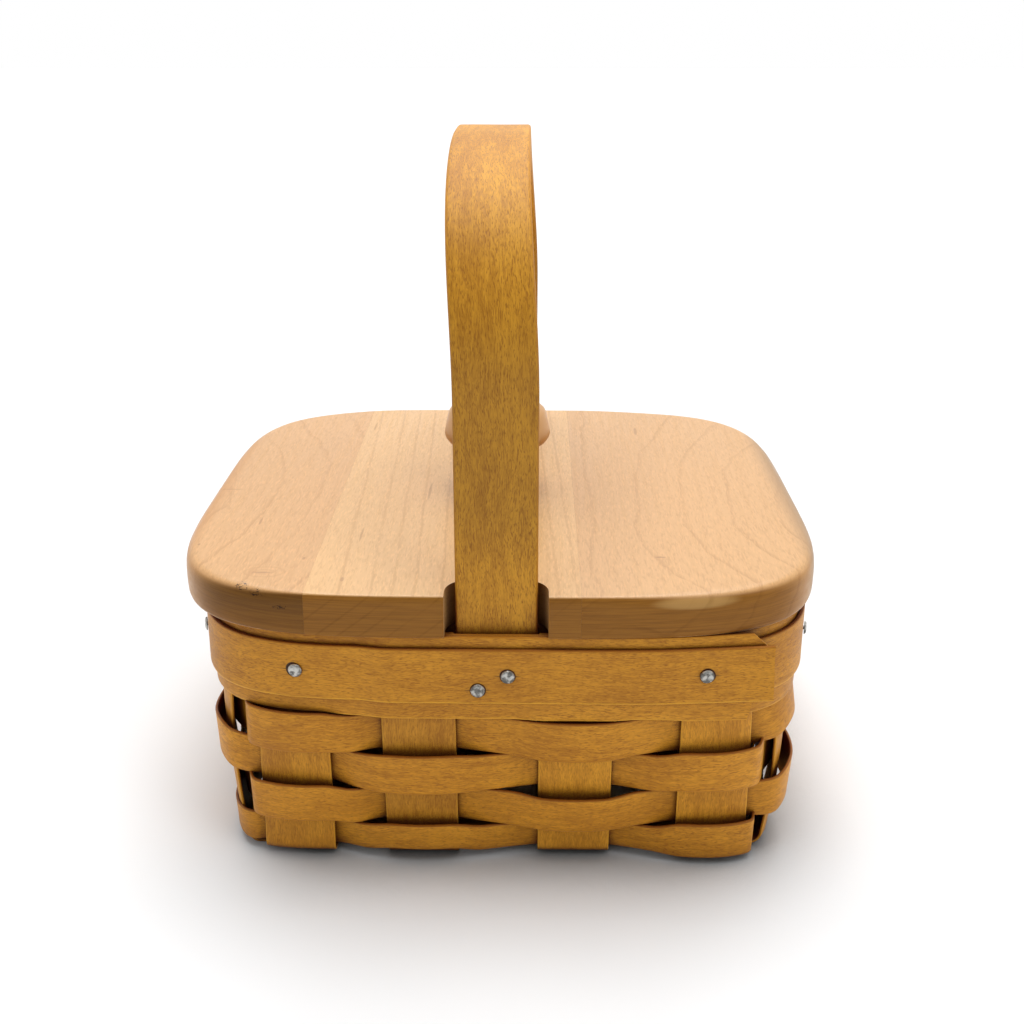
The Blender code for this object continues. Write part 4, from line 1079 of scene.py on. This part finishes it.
def board_material(name):
    """Clear-finished pale hardwood: faint growth rings, fine flecks and browner end grain, with painted shade in gaps
    and at the left and right ends, a painted highlight on the right board and a painted paler top on the knob.
    """
    n = Nodes(f"lid_{name}_wood")
    coordinates = n.tree.nodes.new("ShaderNodeTexCoord")
    x, y, z = n.split(coordinates.outputs["Object"])
    normal_x, normal_y, normal_z = n.split(coordinates.outputs["Normal"])
    seed = {"left": 1.0, "middle": 2.0, "right": 3.0, "knob": 4.0}[name]
    tone = BOARD_TONES[name]

    def field(fx, fy, fz, shift=0.0, detail=2.0, rough=0.5):
        place = n.vector(n.math("MULTIPLY", x, fx), n.math("MULTIPLY_ADD", y, fy, seed * 9.0 + shift),
                         n.math("MULTIPLY", z, fz))
        return n.noise(place, detail, rough)

    def centred(value, size):
        return n.math("MULTIPLY", n.math("SUBTRACT", value, 0.5), size)

    warp = centred(field(30.0, 20.0, 30.0, 3.0, 3.0, 0.55), 0.024)
    jag = centred(field(150.0, 75.0, 150.0, 8.0, 2.0), 0.0030)
    depth = n.math("SUBTRACT", z, LID_FOOT + LID_THICKNESS)
    slant = n.math("SUBTRACT", x, n.math("MULTIPLY", depth, 1.25))
    if name == "middle":
        rings = n.math("ADD", slant, n.math("MULTIPLY", y, 0.035))
        rings = n.math("ADD", rings, n.math("MULTIPLY", warp, 0.07))
        line = 0.0
        for place in BOARD_LINES:
            distance = n.math("ABSOLUTE", n.math("SUBTRACT", rings, place * MM))
            line = n.math("MAXIMUM", line, n.step(distance, 0.75 * MM, 0.15 * MM))
    elif name == "knob":
        rings = n.math("ADD", n.math("MULTIPLY_ADD", z, 0.35, x), n.math("MULTIPLY", warp, 0.4))
        phase = n.math("FRACT", n.math("DIVIDE", rings, 3.4 * MM))
        line = n.math("MULTIPLY", n.step(phase, 0.6, 0.93), n.step(phase, 1.0, 0.95))
    else:
        if name == "right":
            out = n.math("SUBTRACT", 0.125, slant)
            along = n.math("ADD", y, 0.035)
            along = n.math("MAXIMUM", n.math("MULTIPLY", along, -0.90), n.math("MULTIPLY", along, 0.46))
            along = n.math("MULTIPLY", along, n.step(x, 0.022, 0.055))
        else:
            out = n.math("ADD", x, 0.128)
            along = n.math("MULTIPLY", n.math("ADD", y, 0.012), 0.52)
        rings = n.math("SQRT", n.math("ADD", n.math("MULTIPLY", out, out), n.math("MULTIPLY", along, along)))
        rings = n.math("ADD", n.math("ADD", rings, n.math("MULTIPLY", warp, 0.45)), jag)
        phase = n.math("FRACT", n.math("DIVIDE", rings, 16.0 * MM))
        line = n.math("MULTIPLY", n.step(phase, 0.86, 0.965), n.step(phase, 0.995, 0.97))
        fine = n.math("FRACT", n.math("DIVIDE", rings, 5.3 * MM))
        fine = n.math("MULTIPLY", n.step(fine, 0.70, 0.93), n.step(fine, 1.0, 0.94))
        line = n.math("MAXIMUM", line, n.math("MULTIPLY", fine, 0.28))
    cloud = n.step(field(26.0, 10.0, 26.0, 31.0), 0.3, 0.7)
    colour = n.mix(cloud, scaled(tone, 0.955), scaled(tone, 1.045))
    streak = n.step(field(620.0, 24.0, 620.0, 41.0, 3.0, 0.6), 0.3, 0.7)
    colour = n.mix(n.math("MULTIPLY", streak, 0.30), colour, scaled(tone, 0.86))
    patchy = n.step(field(40.0, 22.0, 40.0, 21.0), 0.25, 0.65)
    ring_brown = (tone[0] * 0.78, tone[1] * 0.71, tone[2] * 0.60)
    strength = n.math("MULTIPLY_ADD", patchy, 0.45, 0.30)
    colour = n.mix(n.math("MULTIPLY", line, strength), colour, ring_brown)
    speck = n.step(field(2000.0, 290.0, 2000.0, 51.0, 1.0), 0.50, 0.68)
    colour = n.mix(n.math("MULTIPLY", speck, 0.42), colour, (tone[0] * 0.74, tone[1] * 0.66, tone[2] * 0.56))
    pale = n.step(field(1900.0, 270.0, 1900.0, 61.0, 1.0), 0.52, 0.68)
    colour = n.mix(n.math("MULTIPLY", pale, 0.45), colour, scaled(tone, 1.18))
    mark_brown = (tone[0] * 0.50, tone[1] * 0.38, tone[2] * 0.26)
    for place_x, place_y, wide, long in BOARD_DASHES[name]:
        aside = n.math("DIVIDE", n.math("SUBTRACT", n.math("MULTIPLY_ADD", jag, 0.25, x), place_x * MM), wide * MM)
        along = n.math("DIVIDE", n.math("SUBTRACT", y, place_y * MM), long * MM)
        span = n.math("ADD", n.math("MULTIPLY", aside, aside), n.math("MULTIPLY", along, along))
        colour = n.mix(n.math("MULTIPLY", n.step(span, 1.0, 0.2), 0.55), colour, mark_brown)
    if name == "left":
        aside = n.math("DIVIDE", n.math("ADD", x, 0.0715), 1.55)
        along = n.math("ADD", y, 0.0782)
        span = n.math("SQRT", n.math("ADD", n.math("MULTIPLY", aside, aside), n.math("MULTIPLY", along, along)))
        phase = n.math("FRACT", n.math("DIVIDE", n.math("ADD", span, n.math("MULTIPLY", jag, 0.3)), 2.1 * MM))
        swirl = n.math("MULTIPLY", n.step(phase, 0.45, 0.9), n.step(span, 7.5 * MM, 3.0 * MM))
        colour = n.mix(n.math("MULTIPLY", swirl, 0.5), colour, ring_brown)
    end_grain = n.step(n.math("ABSOLUTE", normal_y), 0.30, 0.85)
    side = n.step(n.math("ABSOLUTE", normal_z), 0.96, 0.50)
    edge_streak = n.step(field(60.0, 60.0, 2600.0, 71.0, 2.0, 0.6), 0.3, 0.7)
    colour = n.mix(n.math("MULTIPLY", side, 0.60), colour, (tone[0] * 0.72, tone[1] * 0.62, tone[2] * 0.52))
    end_brown = n.mix(edge_streak, (0.205, 0.078, 0.009), (0.285, 0.116, 0.014))
    end_side = n.math("MULTIPLY", end_grain, side)
    if name == "left":
        # Painted shade: the left board's end grain darkened, more towards its top.
        end_brown = n.scale(end_brown, n.math("MULTIPLY_ADD", n.step(z, 0.084, 0.0945), -0.24, 0.80))
    colour = n.mix(n.math("MULTIPLY", end_side, 0.94), colour, end_brown)
    if name == "right":
        # Painted highlight: a pale patch on the upper front edge of the right board stands in for a glossy highlight.
        aside = n.math("DIVIDE", n.math("SUBTRACT", x, 59.0 * MM), 15.0 * MM)
        above = n.math("DIVIDE", n.math("SUBTRACT", z, 94.9 * MM), 2.3 * MM)
        span = n.math("ADD", n.math("MULTIPLY", aside, aside), n.math("MULTIPLY", above, above))
        painted_highlight = n.math("MULTIPLY", n.step(span, 1.0, 0.15), n.math("MULTIPLY", end_side, 0.8))
        colour = n.mix(painted_highlight, colour, (0.50, 0.285, 0.095))
        # Painted shade: the rounded right end of the lid darkened to about half its tone.
        colour = n.mix(n.math("MULTIPLY", n.step(x, 0.0940, 0.1020), 0.9), colour, scaled(tone, 0.52))
    if name == "left":
        # Painted shade: the left end of the lid darkened to a deeper, warmer tone, as light falls from the right.
        left_end_shade = (tone[0] * 0.76, tone[1] * 0.60, tone[2] * 0.34)
        colour = n.mix(n.math("MULTIPLY", n.step(x, -0.0950, -0.1020), 0.7), colour, left_end_shade)
    else:
        stripe = n.math("MULTIPLY", n.math("MULTIPLY", line, patchy), n.math("MULTIPLY", end_side, 0.30))
        colour = n.mix(stripe, colour, (0.140, 0.050, 0.008))
    if name == "left":
        flaws = 0.0
        for place_x, place_y, place_z, wide in BOARD_FLAWS:
            reach = 0.0
            for axis, place, size in ((x, place_x, wide), (y, place_y, 4.0), (z, place_z, 0.36 * wide)):
                part = n.math("DIVIDE", n.math("SUBTRACT", axis, place * MM), size * MM)
                reach = n.math("ADD", reach, n.math("MULTIPLY", part, part))
            flaws = n.math("MAXIMUM", flaws, n.step(reach, 1.0, 0.6))
        curl = n.math("ABSOLUTE", n.math("SUBTRACT", field(700.0, 700.0, 1300.0, 81.0, 2.0), 0.5))
        curl = n.math("MULTIPLY", n.step(curl, 0.045, 0.020), n.step(field(500.0, 500.0, 500.0, 91.0), 0.42, 0.50))
        colour = n.mix(n.math("MULTIPLY", flaws, curl), colour, (0.016, 0.008, 0.005))
    if name == "knob":
        # Painted light: the upper dome of the knob painted paler, where light from above falls.
        colour = n.mix(n.step(z, 0.1140, 0.1220), colour, (0.600, 0.335, 0.135))
    # Painted shade: the lid darkened to deep red-brown in corners and gaps such as the notches, where shade falls.
    colour = n.mix(n.math("MULTIPLY", n.recess_shade(7.0 * MM, 0.60, 0.15), 0.88), colour, (0.075, 0.014, 0.006))
    n.link(colour, n.shader.inputs["Base Color"])
    n.link(n.math("MULTIPLY_ADD", streak, 0.10, 0.28), n.shader.inputs["Roughness"])
    shine = 0.22 if name == "knob" else 0.5
    n.link(n.math("MULTIPLY_ADD", side, 0.12 - shine, shine), n.shader.inputs["Specular IOR Level"])
    height = n.math("SUBTRACT", n.math("MULTIPLY", streak, 0.6), n.math("MULTIPLY", speck, 0.6))
    n.bump(height, 0.18, 0.05 * MM)
    return n.material


def steel_material(name, tone, rough):
    """Worn steel with small dents and dull patches."""
    n = Nodes(name)
    coordinates = n.tree.nodes.new("ShaderNodeTexCoord")
    x, y, z = n.split(coordinates.outputs["Object"])

    def field(scale):
        return n.noise(n.vector(*(n.math("MULTIPLY", axis, scale) for axis in (x, y, z))), 2.0, 0.6)

    darker = n.step(field(620.0), 0.40, 0.62)
    n.link(n.mix(darker, scaled(tone, 1.1), scaled(tone, 0.36)), n.shader.inputs["Base Color"])
    n.shader.inputs["Metallic"].default_value = 1.0
    n.link(n.math("MULTIPLY_ADD", darker, 0.25, rough), n.shader.inputs["Roughness"])
    n.bump(field(800.0), 0.8, 0.35 * MM)
    return n.material


# Light and camera

def make_floor():
    shape = bmesh.new()
    bmesh.ops.create_grid(shape, x_segments=8, y_segments=8, size=6.0)
    mesh = bpy.data.meshes.new("floor")
    shape.to_mesh(mesh)
    shape.free()
    floor = bpy.data.objects.new("floor", mesh)
    bpy.context.scene.collection.objects.link(floor)
    n = Nodes("floor_white")
    coordinates = n.tree.nodes.new("ShaderNodeTexCoord")
    place = n.split(coordinates.outputs["Object"])
    soft = n.noise(n.vector(n.math("MULTIPLY", place[0], 3.0), n.math("MULTIPLY", place[1], 3.0), 0.0), 1.0)
    plain = n.mix(soft, (0.845, 0.858, 0.870), (0.855, 0.868, 0.880))
    # Painted contact shadow: the floor darkened to grey close to the basket, except at its left end.
    near = n.math("MULTIPLY", n.recess_shade(32.0 * MM, 0.80, 0.30), n.step(place[0], -0.090, -0.055))
    n.link(n.mix(n.math("MULTIPLY", near, 0.90), plain, (0.17, 0.18, 0.18)), n.shader.inputs["Base Color"])
    n.shader.inputs["Roughness"].default_value = 0.9
    n.shader.inputs["Specular IOR Level"].default_value = 0.1
    mesh.materials.append(n.material)


def make_light():
    """White studio with its own strength for each side, and two soft lamps overhead and behind."""
    world = bpy.data.worlds.new("studio")
    bpy.context.scene.world = world
    world.use_nodes = True
    tree = world.node_tree
    background = tree.nodes["Background"]
    background.inputs["Color"].default_value = (1.0, 1.0, 1.0, 1.0)

    def math_node(operation, first, last):
        node = tree.nodes.new("ShaderNodeMath")
        node.operation = operation
        for value, socket in zip((first, last), node.inputs):
            tree.links.new(value, socket)
        return node.outputs[0]

    def between(value, low, high, first, last):
        node = tree.nodes.new("ShaderNodeMapRange")
        node.interpolation_type = "SMOOTHSTEP"
        for item, socket in zip((value, low, high, first, last), node.inputs):
            if isinstance(item, bpy.types.NodeSocket):
                tree.links.new(item, socket)
            else:
                socket.default_value = item
        return node.outputs[0]

    coordinates = tree.nodes.new("ShaderNodeTexCoord")
    parts = tree.nodes.new("ShaderNodeSeparateXYZ")
    tree.links.new(coordinates.outputs["Generated"], parts.inputs[0])
    x, y, z = parts.outputs
    beside = between(x, -0.2, 0.2, LIGHT["left"], LIGHT["right"])
    ahead = between(y, -0.2, 0.2, LIGHT["front"], LIGHT["back"])
    squares = math_node("MULTIPLY", x, x), math_node("MULTIPLY", y, y)
    sideways = math_node("SUBTRACT", *squares)
    level = between(sideways, -0.2, 0.2, ahead, beside)
    light = between(z, 0.45, 0.75, level, LIGHT["up"])
    white = between(y, -0.5, -0.1, LIGHT["front"], 1.0)
    path = tree.nodes.new("ShaderNodeLightPath")
    mirrored = between(path.outputs["Is Glossy Ray"], 0.0, 1.0, light, white)
    seen = math_node("MAXIMUM", path.outputs["Is Camera Ray"], path.outputs["Is Transmission Ray"])
    tree.links.new(between(seen, 0.0, 1.0, mirrored, 1.0), background.inputs["Strength"])
    for name, energy, angle, tilt, turn in SUNS:
        lamp = bpy.data.lights.new(name, "SUN")
        lamp.energy = energy
        lamp.angle = math.radians(angle)
        item = bpy.data.objects.new(name, lamp)
        item.rotation_euler = (math.radians(tilt), 0.0, math.radians(turn))
        bpy.context.scene.collection.objects.link(item)


LIGHT = {"up": 0.30, "back": 0.30, "front": 0.30, "left": 0.95, "right": 1.30}
SUNS = (("overhead", 1.75, 45.0, -10.0, 0.0), ("behind", 1.05, 50.0, -35.0, 0.0), ("right", 0.30, 22.0, 36.0, 50.0))


def make_camera():
    lens = bpy.data.cameras.new("camera")
    lens.sensor_width = 36.0
    lens.lens = 45.46
    lens.clip_start = 0.01
    lens.clip_end = 50.0
    camera = bpy.data.objects.new("camera", lens)
    camera.location = (0.0101, -0.4387, 0.2570)
    camera.rotation_euler = (math.radians(90.0 - 21.18), 0.0, math.radians(0.905))
    bpy.context.scene.collection.objects.link(camera)
    bpy.context.scene.camera = camera
    bpy.context.scene.view_settings.view_transform = "Standard"


STEEL = steel_material("tack_steel_worn", (0.46, 0.45, 0.42), 0.34)

make_uprights()
make_weavers()
make_rim()
make_tacks()
make_handle()
make_lid()
make_knob()

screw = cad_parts["knob_screw"]
screw.material_slots[0].material = steel_material("screw_steel_plated", (0.66, 0.62, 0.54), 0.25)

make_floor()
make_light()
make_camera()
